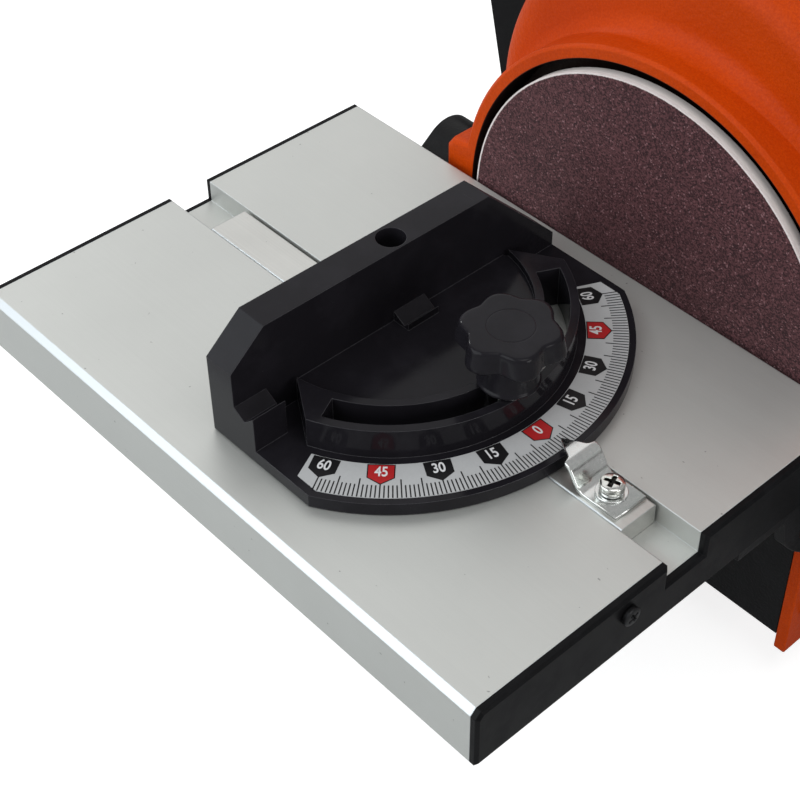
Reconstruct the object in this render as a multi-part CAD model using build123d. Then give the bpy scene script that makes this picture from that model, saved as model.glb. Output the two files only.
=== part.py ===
from build123d import *
import math
import os

os.makedirs("parts", exist_ok=True)

# Belt and disc sander, sizes in mm
# x = 0 is the disc axis, y = 0 the middle of the base, z = 0 the bench.
# A depth is counted back from the table edge that faces the disc, so a point in front of it is negative.

# Base
BASE_WIDE = 260.0
BASE_DEEP = 170.0
FOOT_H = 12.0
FOOT_R = 15.0
PLINTH_H = 46.0
PLINTH_WALL = 4.0
PLINTH_ROUND = 14.0
PLINTH_TOP_ROUND = 4.0
LUG_REACH = 13.0
LUG_Y = 58.0
LUG_T = 6.0
BENCH_HOLE_R = 4.5
FOOT_NECK_R = 7.0
BOTTOM_T = 2.0
POST_R = 7.0
POST_IN_X = 50.0
POST_IN_Y = 14.0

# Heights of the table and the disc axis
TABLE_TOP = 130.0
DISC_DROP = 5.0

# Disc
DISC_R = 75.0
DISC_GAP = 1.8
GRIT_T = 1.0
DISC_T = 3.2
HUB_R = 14.0
HUB_LONG = 10.0
SHAFT_R = 8.0

# Disc housing
RING_GAP = 3.8
RING_T = 4.5
RING_FRONT = 3.5
RING_LIP = 1.0
RING_FLARE = 7.0
FLARE_LIFT = 10.0
WALL_FRONT = 17.0
WALL_T = 4.0
CASE_DEEP = 15.0
CASE_WALL = 4.0
ARCH_RISE = 32.0
ARCH_ROUND = 10.0
HOUSE_BOTTOM = 15.2
SIDE_FRONT = -1.5
SIDE_TOP = 74.0
SIDE_CHAMFER = 0.4
EAR_OUT = 8.9
EAR_CORNER_IN = 2.4
EAR_CORNER_DROP = 3.4
EAR_FOOT_CUT = 5.0
EAR_ROOT_RISE = 2.2
EAR_ROUND = 2.2
EAR_LOW = 62.0
EAR_HIGH = 137.6
SHAFT_HOLE_R = 12.0
SCREW_BOSS_R = 7.0
HOUSE_SCREW_ANGLE = 62.0

# Lower disc guard
GUARD_FRONT = -1.0
GUARD_T = 1.8
GUARD_LOW = 21.0
GUARD_HIGH = 76.0
GUARD_GAP = 0.3
TAB_LONG = 12.0
TAB_HIGH = 15.0
TAB_SCREW_BACK = 6.6

# Drive bracket and transmission
BRACKET_T = 8.0
BOSS_R = 20.0
BOSS_PROUD = 6.0
SEAT_R = 13.0
BEARING_W = 8.0
SEAT_LIP = 2.0
DRUM_SHAFT_R = 7.0
DRIVE_R = 18.0
DRIVEN_R = 15.0
PULLEY_W = 10.0
FLANGE_T = 1.0
FLANGE_RISE = 2.5
DRIVE_BELT_T = 2.5
DRIVE_BELT_FIT = 0.3
PULLEY_GAP = 2.0
BRACKET_FOOT_T = 8.0
BRACKET_FOOT_LONG = 18.0
BRACKET_FOOT_W = 22.0

# Motor
MOTOR_R = 48.0
MOTOR_WALL = 4.0
MOTOR_LONG = 102.0
MOTOR_END_T = 8.0
MOTOR_BELL_T = 6.0
MOTOR_SEAT_R = 16.0
MOTOR_BEARING_W = 10.0
MOTOR_BOSS_R = 20.0
MOTOR_BOSS_LONG = 5.0
MOTOR_BOLT_SIDE = 25.52
AIR_GAP = 0.5
ROTOR_R = 28.5
STACK_START = 22.0
STACK_LONG = 64.0
FAN_R = 42.0
FAN_T = 14.0
FAN_GAP = 6.0
FAN_BLADES = 7
FAN_BLADE_T = 2.0
COVER_R = 58.0
COVER_WALL = 3.0
COVER_ROUND = 6.0
VENT_COUNT = 7
VENT_W = 60.0
VENT_H = 4.0
VENT_PITCH = 9.0
COVER_TAB = 12.0
COVER_TAB_T = 3.0

# Belt unit
BELT_LOOP = 915.0
BELT_W = 100.0
BELT_T = 1.2
BELT_FIT = 0.3
BELT_RISE = 2.7
DRUM_R = 25.0
DRUM_SPARE = 1.0
DRUM_GAP = 3.0
DRUM_DISH_R = 20.0
DRUM_DISH = 15.0
FRAME_GAP = 4.0
FRAME_T = 6.0
FRAME_H = 42.0
FRAME_END_BACK = 41.0
FRAME_HUB_WALL = 6.0
BEAM_START = 36.0
BEAM_END_BACK = 48.0
BEAM_WALL = 4.0
BEAM_FLOOR_T = 3.0
BEAM_FLOOR_GAP = 3.3
PLATEN_T = 3.0
PLATEN_START = 32.0
PLATEN_END_BACK = 38.0
STEM_R = 7.0
STEM_TAIL_BACK = 136.0
GUIDE_BACK = 114.0
GUIDE_T = 4.0
TIE_BACK = 84.0
TIE_T = 4.0
TIE_H = 15.0
YOKE_T = 5.0
YOKE_H = 24.0
YOKE_GAP = 2.0
BRIDGE_T = 7.0
BRIDGE_BACK = 27.0
AXLE_R = 5.0
AXLE_HEAD_R = 8.0
AXLE_HEAD_T = 3.3
SPRING_WIRE_R = 0.9
SPRING_COIL_R = 9.2
SPRING_TURNS = 5
SPRING_END = 0.3
LEVER_SHAFT_R = 5.0
LEVER_HUB_R = 11.0
LEVER_HUB_T = 9.6
LEVER_LONG = 70.0
LEVER_ARM_T = 6.0
LEVER_ARM_W = 12.0
LEVER_BALL_R = 8.0
CAM_R = 12.0
CAM_OFFSET = 5.0
CAM_T = 6.0
CAM_GAP = 0.35
TRACK_BACK = 126.0
TRACK_R = 4.0
TRACK_KNOB_R = 14.0
TRACK_KNOB_T = 16.0
TRACK_COLLAR = 8.0
STOP_X = 23.0
STOP_T = 3.0
STOP_HIGH = 29.0
STOP_ABOVE_BELT = 1.5
STOP_LEG_DOWN = 18.0
LOCK_SCREW_R = 2.4
LOCK_HEX_R = 1.35
REST_X = 75.0
REST_R = 2.5
REST_HEAD_R = 4.5
REST_LUG_T = 12.0
REST_LUG_W = 18.0
REST_LUG_DEEP = 14.0
REST_GAP = 0.3
REST_DROP = 34.0
REST_HEAD_T = 5.0

# Dust hood
HOOD_WALL = 2.5
HOOD_LOW = 118.0
HOOD_LEAN = 0.2335
HOOD_LEFT = 101.0
HOOD_INNER = 66.0
HOOD_MOUTH_GAP = 7.5
HOOD_MOUTH_H = 30.0
HOOD_KNEE = 140.0
HOOD_BACK_SPARE = 3.5
HOOD_SCREW_DOWN = 18.0
PORT_R = 29.0
PORT_WALL = 2.5
PORT_TIP = 155.0
PORT_STOP = 120.0
PORT_COLLAR_R = 33.0
PORT_Z = 160.0

# Table
TABLE_RIGHT = 86.5
TABLE_LONG = 222.0
TABLE_DEEP = 157.0
TABLE_T = 21.6
TABLE_CHAMFER = 2.0
TABLE_LIP = 2.0
TABLE_WALL = 3.2
SLOT_FRONT = 68.0
SLOT_W = 16.0
SLOT_DEEP = 8.0
WEB_FRONT = 109.0
CAP_T = 2.6
CAP_CHAMFER = 0.9
CAP_SCREW_DEPTH = 100.0
CAP_SCREW_DOWN = 6.5
CAP_SCREW_LONG = 14.0

# Table arms
PIVOT_BACK = 18.0
PIVOT_DROP = 11.0
PIVOT_R = 4.0
ARM_T = 3.8
ARM_WIDE = 14.4
ARM_GAP = 0.4
ARM_BOSS_R = 12.0
ARM_FLANGE_T = 4.0
ARM_STEP = 5.5
ARM_TOP_ANGLE = 127.0
ARM_NECK_ANGLE = -10.0
ARM_BEAM_ANGLE = -160.0
ARM_FLANGE_BACK = 26.0
ARM_LEFT_FRONT = 95.0
ARM_LEFT_IN = 82.0
ARM_RIGHT_FRONT = 48.0
ARM_RIGHT_IN = 55.0
TABLE_TILT = 45.0
ARC_R = 42.0
ARC_EDGE = 8.0
STUD_R = 3.0
STUD_GAP = 0.3
SLOT_SPARE_ANGLE = 1.0
LOCK_KNOB_R = 16.0
LOCK_KNOB_T = 14.0
LOCK_COLLAR_R = 8.0
LOCK_COLLAR_T = 8.0
STUD_DEEP = 12.0
HOLE_SPARE = 1.0
PIVOT_HEAD_R = 7.0
PIVOT_HEAD_T = 3.5

# Mitre gauge, radii about its pivot
MITRE_X = -32.4
BAR_SIDE_GAP = 0.3
BAR_WIDE_GAP = 0.9
BAR_FLOOR_GAP = 0.15
BAR_HOLE_FLOOR = 2.0
BAR_SINK = 0.2
BAR_CHAMFER = 0.5
BAR_LEFT = 82.1
BAR_RIGHT = 103.2
HEAD_GAP = 0.3
HEAD_R = 75.4
HEAD_HALF = 65.5
HEAD_PLATE_TOP = 4.7
PLATEAU_TOP = 12.8
PLATEAU_R = 57.3
RIM_TOP = 15.2
RIM_IN = 44.0
PLATEAU_EDGE_X = 5.4
PLATEAU_EDGE_Y = 42.6
PLATEAU_EDGE_SLOPE = 0.62
FENCE_BACK = 5.6
FENCE_FACE = 5.4
FENCE_TOP = 39.5
FENCE_STEP = 9.7
FENCE_STEP_Y = 35.5
FENCE_END_Y = 52.7
FENCE_END_Z = 28.7
ARC_SLOT_R = 50.6
ARC_SLOT_W = 7.9
ARC_SLOT_HALF = 63.7
BLOCK_ROOT = 1.0
BLOCK_TOP = 16.3
BLOCK_V = 13.6
BLOCK_V_X = 10.0
BLOCK_LIP = 17.5
BLOCK_LIP_X = 14.1
BLOCK_LIP_IN = 11.9
BLOCK_LEFT_IN = 53.7
BLOCK_MID_LEFT = 4.0
BLOCK_MID_RIGHT = 8.5
ACCESS_R = 4.7
PIVOT_SEAT = 4.0
MITRE_PIVOT_R = 3.0
MITRE_PIVOT_HEAD_T = 3.0
SCALE_IN = 60.0
SCALE_OUT = 73.2
SCALE_HALF_ANGLE = 64.8
SCALE_HALF = 62.8
SCALE_T = 0.2
KNOB_R = 16.2
KNOB_VALLEY_R = 12.8
KNOB_LOBES = 6
KNOB_TURN = 31.0
KNOB_HUB_R = 8.9
KNOB_LOW = 29.8
KNOB_TOP = 37.5
KNOB_DISH_R = 7.0
KNOB_DISH = 0.2
KNOB_ROUND = 1.5
WASHER_R = 8.0
WASHER_T = 1.2
POINTER_X = 52.0
POINTER_LONG = 15.5
POINTER_W = 13.0
POINTER_T = 1.5
POINTER_BEND = 1.0
POINTER_CREST = 3.0
POINTER_TIP = 38.5
POINTER_RIDGE = 46.7
POINTER_TOP = 9.4
POINTER_TIP_Z = 6.4
POINTER_SCREW_X = 60.0
POINTER_SCREW_R = 2.0

# Switch and cable gland
SWITCH_Z = 36.0
SWITCH_W = 26.0
SWITCH_H = 20.0
SWITCH_DEEP = 22.0
BEZEL_RIM = 3.0
BEZEL_T = 2.5
ROCKER_W = 20.0
ROCKER_H = 13.6
ROCKER_THROW = 16.0
ROCKER_PIN_R = 1.5
ROCKER_GAP = 0.4
ROCKER_AXIS_DEEP = 3.0
ROCKER_PROUD = 5.5
ROCKER_WAIST = 4.6
ROCKER_HEEL = 2.5
ROCKER_PIN_OUT = 1.0
GLAND_IN = 40.0
GLAND_Z = 35.0
GLAND_R = 8.0
GLAND_NUT_R = 11.0
GLAND_NUT_T = 8.0
GLAND_BORE_R = 4.2

# Fits
RUN_FIT = 0.05
SEAT_FIT = 0.02
SCREW_FIT = 0.05
FACE_GAP = 0.3
EDGE_PICK = 1.0

# Fasteners: shank radius, head radius, head height, then shares of these
M4 = (2.0, 3.8, 2.6)
M5 = (2.5, 4.4, 3.4)
M6 = (3.0, 5.2, 3.5)
CAP_SCREW = (1.7, 3.1, 2.0)
HEAD_ROUND = 0.45
RECESS_DEEP = 0.6
CROSS_LONG = 1.1
CROSS_WIDE = 0.26
HEX_SHARE = 0.8

# Washers: outer radius, thickness
FLAT_WASHER = (4.8, 0.9)
SPRING_WASHER = (3.7, 1.3)

# Hand grips, as shares of the grip's radius
FLUTE_SHARE = 0.44
LOBE_SHARE = 0.16
VALLEY_SHARE = 0.8

# Places that follow from the sizes
BASE_HALF = BASE_WIDE / 2
BACK_Y = BASE_DEEP / 2
GLAND_X = GLAND_IN - BASE_HALF
PLINTH_TOP = FOOT_H + PLINTH_H
DISC_Z = TABLE_TOP - DISC_DROP
RING_IN = DISC_R + RING_GAP
HOUSE_R = RING_IN + RING_T
WALL_BACK = WALL_FRONT + WALL_T
HOUSE_BACK = WALL_BACK + CASE_DEEP
EDGE_Y = -BACK_Y - HOUSE_BACK
ARCH_Z = DISC_Z + ARCH_RISE
BRACKET_BACK = HOUSE_BACK + BRACKET_T
FRAME_FRONT = BRACKET_BACK + FRAME_GAP
FRAME_BACK = FRAME_FRONT + FRAME_T
BOSS_BACK = FRAME_BACK + BOSS_PROUD
DRUM_FRONT = BOSS_BACK + DRUM_GAP
DRUM_BACK = DRUM_FRONT + BELT_W + 2 * DRUM_SPARE
BELT_FRONT = DRUM_FRONT + DRUM_SPARE
BELT_BACK = BELT_FRONT + BELT_W
BELT_MID = (BELT_FRONT + BELT_BACK) / 2
BELT_IN_R = DRUM_R + BELT_FIT
BELT_OUT_R = BELT_IN_R + BELT_T
DRUM_Z = ARCH_Z + HOUSE_R + BELT_RISE - BELT_OUT_R
IDLER_X = (BELT_LOOP - 2 * math.pi * (BELT_IN_R + BELT_T / 2)) / 2
TABLE_LEFT = TABLE_RIGHT - TABLE_LONG
TABLE_UNDER = TABLE_TOP - TABLE_T
SLOT_MID = SLOT_FRONT + SLOT_W / 2
PIVOT_Z = TABLE_TOP - PIVOT_DROP
EAR_X = -HOUSE_R - EAR_OUT
LOCK_Z = PIVOT_Z - ARC_R
PLATEN_TOP = DRUM_Z + BELT_IN_R - FACE_GAP
BEAM_TOP = PLATEN_TOP - PLATEN_T
BEAM_LOW = DRUM_Z - BELT_IN_R + BEAM_FLOOR_GAP


def behind(depth):
    return EDGE_Y + depth


MITRE_Y = behind(-SLOT_MID)
BAR_TOP = TABLE_TOP - BAR_SINK


# Shapes between stated ends
def box(x0, x1, y0, y1, z0, z1):
    return Pos((x0 + x1) / 2, (y0 + y1) / 2, (z0 + z1) / 2) * Box(abs(x1 - x0), y1 - y0, z1 - z0)


def rod_x(r, x0, x1, y, z):
    return Pos((x0 + x1) / 2, y, z) * Rot(0, 90, 0) * Cylinder(r, abs(x1 - x0))


def rod_y(r, x, y0, y1, z):
    return Pos(x, (y0 + y1) / 2, z) * Rot(90, 0, 0) * Cylinder(r, y1 - y0)


def rod_z(r, x, y, z0, z1):
    return Pos(x, y, (z0 + z1) / 2) * Cylinder(r, z1 - z0)


# Outlines drawn in x,z are carried along y, and outlines drawn in y,z along x
def along_y(face, y0, y1):
    return Plane((0, y1, 0), x_dir=(1, 0, 0), z_dir=(0, -1, 0)) * extrude(face, y1 - y0, dir=(0, 0, 1))


def along_x(face, x0, x1):
    return Plane((x0, 0, 0), x_dir=(0, 1, 0), z_dir=(1, 0, 0)) * extrude(face, x1 - x0, dir=(0, 0, 1))


def along_z(face, z0, z1):
    return Pos(0, 0, z0) * extrude(face, z1 - z0, dir=(0, 0, 1))


def polygon(*points):
    return Polygon(*points, align=None)


def arch(half, low, centre):
    straight = Pos(0, (low + centre) / 2) * Rectangle(2 * half, centre - low)
    return straight + Pos(0, centre) * Circle(half)


def group(solids):
    return Compound(children=list(solids))


# A screw with its head above z = 0 and its shank below, then turned to face a way
def screw(size, length, cross=False):
    r, head_r, head_h = size
    head = Pos(0, 0, head_h / 2) * Cylinder(head_r, head_h)
    head = fillet(head.edges().sort_by(Axis.Z)[-1:], head_h * HEAD_ROUND)
    sunk = head_h * RECESS_DEEP
    if cross:
        arm = Box(head_r * CROSS_LONG, head_r * CROSS_WIDE, sunk)
        recess = arm + Rot(0, 0, 90) * arm
    else:
        recess = Pos(0, 0, -sunk / 2) * extrude(RegularPolygon(r * HEX_SHARE, 6), sunk)
    body = head + Pos(0, 0, -length / 2) * Cylinder(r, length)
    return body - Pos(0, 0, head_h - sunk / 2) * recess


FACE_FRONT = Rot(90, 0, 0)
FACE_BACK = Rot(-90, 0, 0)
FACE_RIGHT = Rot(0, 90, 0)
FACE_LEFT = Rot(0, -90, 0)
FACE_DOWN = Rot(180, 0, 0)


# A hand knob: a round grip above z = 0 with a flute scooped between each two lobes
def lobed(tip_r, valley_r, lobes, turn, height, round_r):
    flute_r = tip_r * FLUTE_SHARE
    grip = Circle(tip_r)
    for k in range(lobes):
        a = math.radians(turn + 360 * (k + 0.5) / lobes)
        reach = valley_r + flute_r
        grip -= Pos(reach * math.cos(a), reach * math.sin(a)) * Circle(flute_r)
    body = extrude(fillet(grip.vertices(), tip_r * LOBE_SHARE), height)
    return fillet(body.faces().sort_by(Axis.Z)[-1].edges(), round_r)


# Plinth
LUG_X = BASE_HALF + LUG_REACH
LUG_SPOTS = [(sx * LUG_X, sy * LUG_Y) for sx in (-1, 1) for sy in (-1, 1)]
inner_half = BASE_HALF - PLINTH_WALL
inner_back = BACK_Y - PLINTH_WALL
post_x = inner_half - POST_IN_X
post_y = inner_back - POST_IN_Y
POST_SPOTS = [(sx * post_x, sy * post_y) for sx in (-1, 1) for sy in (-1, 1)]

plinth = box(-BASE_HALF, BASE_HALF, -BACK_Y, BACK_Y, FOOT_H, PLINTH_TOP)
plinth = fillet(plinth.edges().filter_by(Axis.Z), PLINTH_ROUND)
plinth = fillet(plinth.faces().sort_by(Axis.Z)[-1].edges(), PLINTH_TOP_ROUND)
hollow = box(-inner_half, inner_half, -inner_back, inner_back, FOOT_H, PLINTH_TOP - PLINTH_WALL)
hollow = fillet(hollow.edges().filter_by(Axis.Z), PLINTH_ROUND - PLINTH_WALL)
plinth -= hollow
for x, y in LUG_SPOTS:
    side = math.copysign(1, x)
    plinth += rod_z(FOOT_R, x, y, FOOT_H, FOOT_H + LUG_T)
    inner = side * (BASE_HALF - PLINTH_WALL / 2)
    plinth += box(min(inner, x), max(inner, x), y - FOOT_R, y + FOOT_R, FOOT_H, FOOT_H + LUG_T)
    plinth -= rod_z(FOOT_NECK_R, x, y, FOOT_H, FOOT_H + LUG_T)
for x, y in POST_SPOTS:
    plinth += rod_z(POST_R, x, y, FOOT_H + BOTTOM_T, PLINTH_TOP - PLINTH_WALL / 2)
    plinth -= rod_z(M4[0] + SCREW_FIT, x, y, FOOT_H, PLINTH_TOP - 3 * PLINTH_WALL)
plinth -= box(inner_half, BASE_HALF, -SWITCH_W / 2, SWITCH_W / 2,
              SWITCH_Z - SWITCH_H / 2, SWITCH_Z + SWITCH_H / 2)
plinth -= rod_y(GLAND_R + SEAT_FIT, GLAND_X, inner_back, BACK_Y, GLAND_Z)

bracket_foot_x = HOUSE_R - BRACKET_FOOT_W / 2
bracket_foot_depth = BRACKET_BACK + BRACKET_FOOT_LONG / 2
BRACKET_SCREW_SPOTS = [(s * bracket_foot_x, behind(bracket_foot_depth)) for s in (-1, 1)]
for x, y in BRACKET_SCREW_SPOTS:
    plinth -= rod_z(M6[0] + SCREW_FIT, x, y, PLINTH_TOP - PLINTH_WALL, PLINTH_TOP)

cover_front = BRACKET_BACK
cover_tab_x = COVER_R + COVER_TAB / 2
cover_tab_depths = (BRACKET_BACK + BRACKET_FOOT_LONG + 2 * COVER_TAB, BASE_DEEP + HOUSE_BACK - 2 * COVER_TAB)
COVER_SCREW_SPOTS = [(s * cover_tab_x, behind(d)) for s in (-1, 1) for d in cover_tab_depths]
for x, y in COVER_SCREW_SPOTS:
    plinth -= rod_z(M4[0] + SCREW_FIT, x, y, PLINTH_TOP - PLINTH_WALL, PLINTH_TOP)
export_step(plinth, "parts/plinth.step")

bottom_half = inner_half - FACE_GAP
bottom_back = inner_back - FACE_GAP
bottom = box(-bottom_half, bottom_half, -bottom_back, bottom_back, FOOT_H, FOOT_H + BOTTOM_T)
bottom = fillet(bottom.edges().filter_by(Axis.Z), PLINTH_ROUND - PLINTH_WALL)
for x, y in POST_SPOTS:
    bottom -= rod_z(M4[0] + SCREW_FIT, x, y, FOOT_H, FOOT_H + BOTTOM_T)
export_step(bottom, "parts/bottom_plate.step")
plate_screw = FACE_DOWN * screw(M4, BOTTOM_T + 3 * PLINTH_WALL, cross=True)
cover_screws = [Pos(x, y, FOOT_H) * plate_screw for x, y in POST_SPOTS]


def foot(x, y):
    body = rod_z(FOOT_R, x, y, 0, FOOT_H) + rod_z(FOOT_NECK_R - SEAT_FIT, x, y, FOOT_H, FOOT_H + LUG_T)
    return body - rod_z(BENCH_HOLE_R, x, y, 0, FOOT_H + LUG_T)


export_step(group([foot(x, y) for x, y in LUG_SPOTS]), "parts/rubber_feet.step")

# Disc housing
house_inner = HOUSE_R - CASE_WALL
house = along_y(arch(HOUSE_R, HOUSE_BOTTOM, ARCH_Z), behind(WALL_FRONT), behind(HOUSE_BACK))
rim = house.faces().sort_by(Axis.Y)[0].edges().filter_by(lambda e: e.center().Z > HOUSE_BOTTOM + EDGE_PICK)
house = fillet(rim, ARCH_ROUND)
house -= along_y(arch(house_inner, HOUSE_BOTTOM + CASE_WALL, ARCH_Z), behind(WALL_BACK), behind(HOUSE_BACK))

reach = 2 * HOUSE_R
upper_half = box(-HOUSE_R, HOUSE_R, behind(RING_FRONT), behind(WALL_BACK), DISC_Z, DISC_Z + reach)
ring_face = polygon(
    (RING_IN, behind(WALL_BACK - WALL_T / 2)),
    (RING_IN, behind(RING_FRONT)),
    (HOUSE_R - RING_LIP, behind(RING_FRONT)),
    (HOUSE_R, behind(RING_FRONT + RING_LIP)),
    (HOUSE_R, behind(WALL_BACK - WALL_T / 2)),
)
ring = Pos(0, 0, DISC_Z) * revolve(ring_face, axis=Axis.Y)

# Hollow blend from the ring to the wall above it, round a raised centre so that it fades out at the sides
flare_r = HOUSE_R - FLARE_LIFT
flare_front = behind(WALL_FRONT - RING_FLARE)
flare_back = behind(WALL_BACK - WALL_T / 2)
flare_mid = RING_FLARE * (1 - math.sqrt(0.5))
flare_line = Polyline(
    (flare_r + RING_FLARE, behind(WALL_FRONT)),
    (flare_r + RING_FLARE, flare_back),
    (0, flare_back),
    (0, flare_front),
    (flare_r, flare_front),
)
flare_arc = ThreePointArc(
    (flare_r, flare_front),
    (flare_r + flare_mid, behind(WALL_FRONT - flare_mid)),
    (flare_r + RING_FLARE, behind(WALL_FRONT)),
)
flare = revolve(make_face(flare_line.edges() + flare_arc.edges()), axis=Axis.Y)
flare = Pos(0, 0, DISC_Z + FLARE_LIFT) * flare
flare -= rod_y(RING_IN + RING_T / 2, 0, flare_front, behind(WALL_FRONT), DISC_Z)
house += upper_half & ring
house += upper_half & flare


# Side wall below the disc axis, with a small chamfer on its front edges
def side_wall(front, low, high):
    c = SIDE_CHAMFER
    y0 = behind(front)
    y1 = behind(WALL_BACK + CASE_WALL)
    right = polygon((RING_IN, y1), (RING_IN, y0 + c), (RING_IN + c, y0),
                    (HOUSE_R - c, y0), (HOUSE_R, y0 + c), (HOUSE_R, y1))
    return along_z(right, low, high)


for wall in (side_wall(RING_FRONT, HOUSE_BOTTOM, DISC_Z), side_wall(SIDE_FRONT, HOUSE_BOTTOM, SIDE_TOP)):
    house += wall
    house += mirror(wall, Plane.YZ)

# Ear for the left table arm, its face level with the ring's
ear_root = -HOUSE_R + RING_T / 2
ear = along_y(polygon(
    (ear_root, EAR_HIGH + EAR_ROOT_RISE),
    (EAR_X + EAR_CORNER_IN, EAR_HIGH),
    (EAR_X, EAR_HIGH - EAR_CORNER_DROP),
    (EAR_X, EAR_LOW + EAR_FOOT_CUT),
    (EAR_X + EAR_FOOT_CUT, EAR_LOW),
    (ear_root, EAR_LOW),
), behind(RING_FRONT), behind(HOUSE_BACK))
ear_rim = ear.faces().sort_by(Axis.Y)[0].edges().filter_by(lambda e: e.center().X < -HOUSE_R)
ear = fillet(ear_rim, EAR_ROUND)
house += ear

house -= rod_y(SHAFT_HOLE_R, 0, behind(WALL_FRONT), behind(WALL_BACK), DISC_Z)
upper_a = math.radians(HOUSE_SCREW_ANGLE)
upper_x = (house_inner - M6[1]) * math.cos(upper_a)
upper_z = ARCH_Z + (house_inner - M6[1]) * math.sin(upper_a)
lower_x = house_inner - M6[1]
lower_z = (LOCK_Z + PIVOT_Z) / 2
HOUSE_SCREW_SPOTS = [(-upper_x, upper_z), (upper_x, upper_z), (-lower_x, lower_z), (lower_x, lower_z)]
for x, z in HOUSE_SCREW_SPOTS:
    house += rod_y(SCREW_BOSS_R, x, behind(WALL_BACK - WALL_T / 2), behind(HOUSE_BACK), z)
    house -= rod_y(M6[0] + SCREW_FIT, x, behind(WALL_BACK + WALL_T), behind(HOUSE_BACK), z)
stud_boss_in = HOUSE_R - STUD_DEEP + CASE_WALL / 2
for z in (PIVOT_Z, LOCK_Z):
    house += box(stud_boss_in, RING_IN + RING_T / 2, behind(PIVOT_BACK - LOCK_COLLAR_R),
                 behind(PIVOT_BACK + LOCK_COLLAR_R), z - LOCK_COLLAR_R, z + LOCK_COLLAR_R)
for z, r in ((PIVOT_Z, PIVOT_R), (LOCK_Z, STUD_R)):
    house -= rod_x(r + SCREW_FIT, HOUSE_R - STUD_DEEP, HOUSE_R, behind(PIVOT_BACK), z)
    house -= rod_x(r + SCREW_FIT, EAR_X, EAR_X + STUD_DEEP, behind(PIVOT_BACK), z)

# Lower disc guard and its screws
guard_half = RING_IN - GUARD_GAP
guard_back = GUARD_FRONT + GUARD_T
tab_low = (GUARD_LOW + HOUSE_BOTTOM) / 2 + TAB_HIGH / 2
guard_screw_depth = guard_back + TAB_SCREW_BACK
guard_screw_z = tab_low + TAB_HIGH / 2
guard = box(-guard_half, guard_half, behind(GUARD_FRONT), behind(guard_back), GUARD_LOW, GUARD_HIGH)
for s in (-1, 1):
    outer = s * guard_half
    tab = s * (guard_half - GUARD_T)
    guard += box(min(outer, tab), max(outer, tab), behind(GUARD_FRONT), behind(guard_back + TAB_LONG),
                 tab_low, tab_low + TAB_HIGH)
for s in (-1, 1):
    hole = (guard_half - GUARD_T) * s
    guard -= rod_x(M4[0] + SCREW_FIT, hole, s * guard_half, behind(guard_screw_depth), guard_screw_z)
    house -= rod_x(M4[0] + SCREW_FIT, s * RING_IN, s * HOUSE_R, behind(guard_screw_depth), guard_screw_z)
export_step(house, "parts/disc_housing.step")
export_step(guard, "parts/lower_disc_guard.step")
guard_screw = screw(M4, RING_T + GUARD_GAP + GUARD_T + HOLE_SPARE, cross=True)
cover_screws += [
    Pos(HOUSE_R, behind(guard_screw_depth), guard_screw_z) * FACE_RIGHT * guard_screw,
    Pos(-HOUSE_R, behind(guard_screw_depth), guard_screw_z) * FACE_LEFT * guard_screw,
]

# Drive bracket
bracket = along_y(arch(HOUSE_R, PLINTH_TOP, ARCH_Z), behind(HOUSE_BACK), behind(BRACKET_BACK))
bracket += rod_y(BOSS_R, 0, behind(BRACKET_BACK), behind(BOSS_BACK), DRUM_Z)
bracket -= rod_y(SEAT_R + SEAT_FIT, 0, behind(HOUSE_BACK + SEAT_LIP), behind(BOSS_BACK), DRUM_Z)
bracket -= rod_y(SEAT_R - SEAT_LIP, 0, behind(HOUSE_BACK), behind(BOSS_BACK), DRUM_Z)
bracket -= rod_y(HUB_R, 0, behind(HOUSE_BACK), behind(BRACKET_BACK), DISC_Z)
for x, y in BRACKET_SCREW_SPOTS:
    half = BRACKET_FOOT_W / 2
    bracket += box(x - half, x + half, behind(BRACKET_BACK), behind(BRACKET_BACK + BRACKET_FOOT_LONG),
                   PLINTH_TOP, PLINTH_TOP + BRACKET_FOOT_T)
    bracket -= rod_z(M6[0] + SCREW_FIT, x, y, PLINTH_TOP, PLINTH_TOP + BRACKET_FOOT_T)
rest_depth = (FRAME_FRONT + FRAME_BACK) / 2
rest_top = DRUM_Z - FRAME_H / 2 - REST_GAP
lug_top = rest_top - REST_LUG_T - REST_GAP
bracket += box(REST_X - REST_LUG_W / 2, REST_X + REST_LUG_W / 2, behind(BRACKET_BACK),
               behind(BRACKET_BACK + REST_LUG_DEEP), lug_top - REST_LUG_T, lug_top)
bracket -= rod_z(REST_R + SCREW_FIT, REST_X, behind(rest_depth), lug_top - REST_LUG_T, lug_top)
for x, z in HOUSE_SCREW_SPOTS:
    bracket -= rod_y(M6[0] + SCREW_FIT, x, behind(HOUSE_BACK), behind(BRACKET_BACK), z)
MOTOR_SCREW_SPOTS = [(sx * MOTOR_BOLT_SIDE, DISC_Z + sz * MOTOR_BOLT_SIDE) for sx in (-1, 1) for sz in (-1, 1)]
for x, z in MOTOR_SCREW_SPOTS:
    bracket -= rod_y(M5[0] + SCREW_FIT, x, behind(HOUSE_BACK), behind(BRACKET_BACK), z)
hood_top = DRUM_Z
HOOD_SCREW_SPOTS = [
    (-HOOD_INNER - 2 * M5[1], HOOD_KNEE + 2 * M5[1]),
    (-HOOD_INNER + 2 * M5[1], hood_top - HOOD_SCREW_DOWN),
]
for x, z in HOOD_SCREW_SPOTS:
    bracket -= rod_y(M4[0] + SCREW_FIT, x, behind(HOUSE_BACK), behind(BRACKET_BACK), z)
export_step(bracket, "parts/drive_bracket.step")

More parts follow.
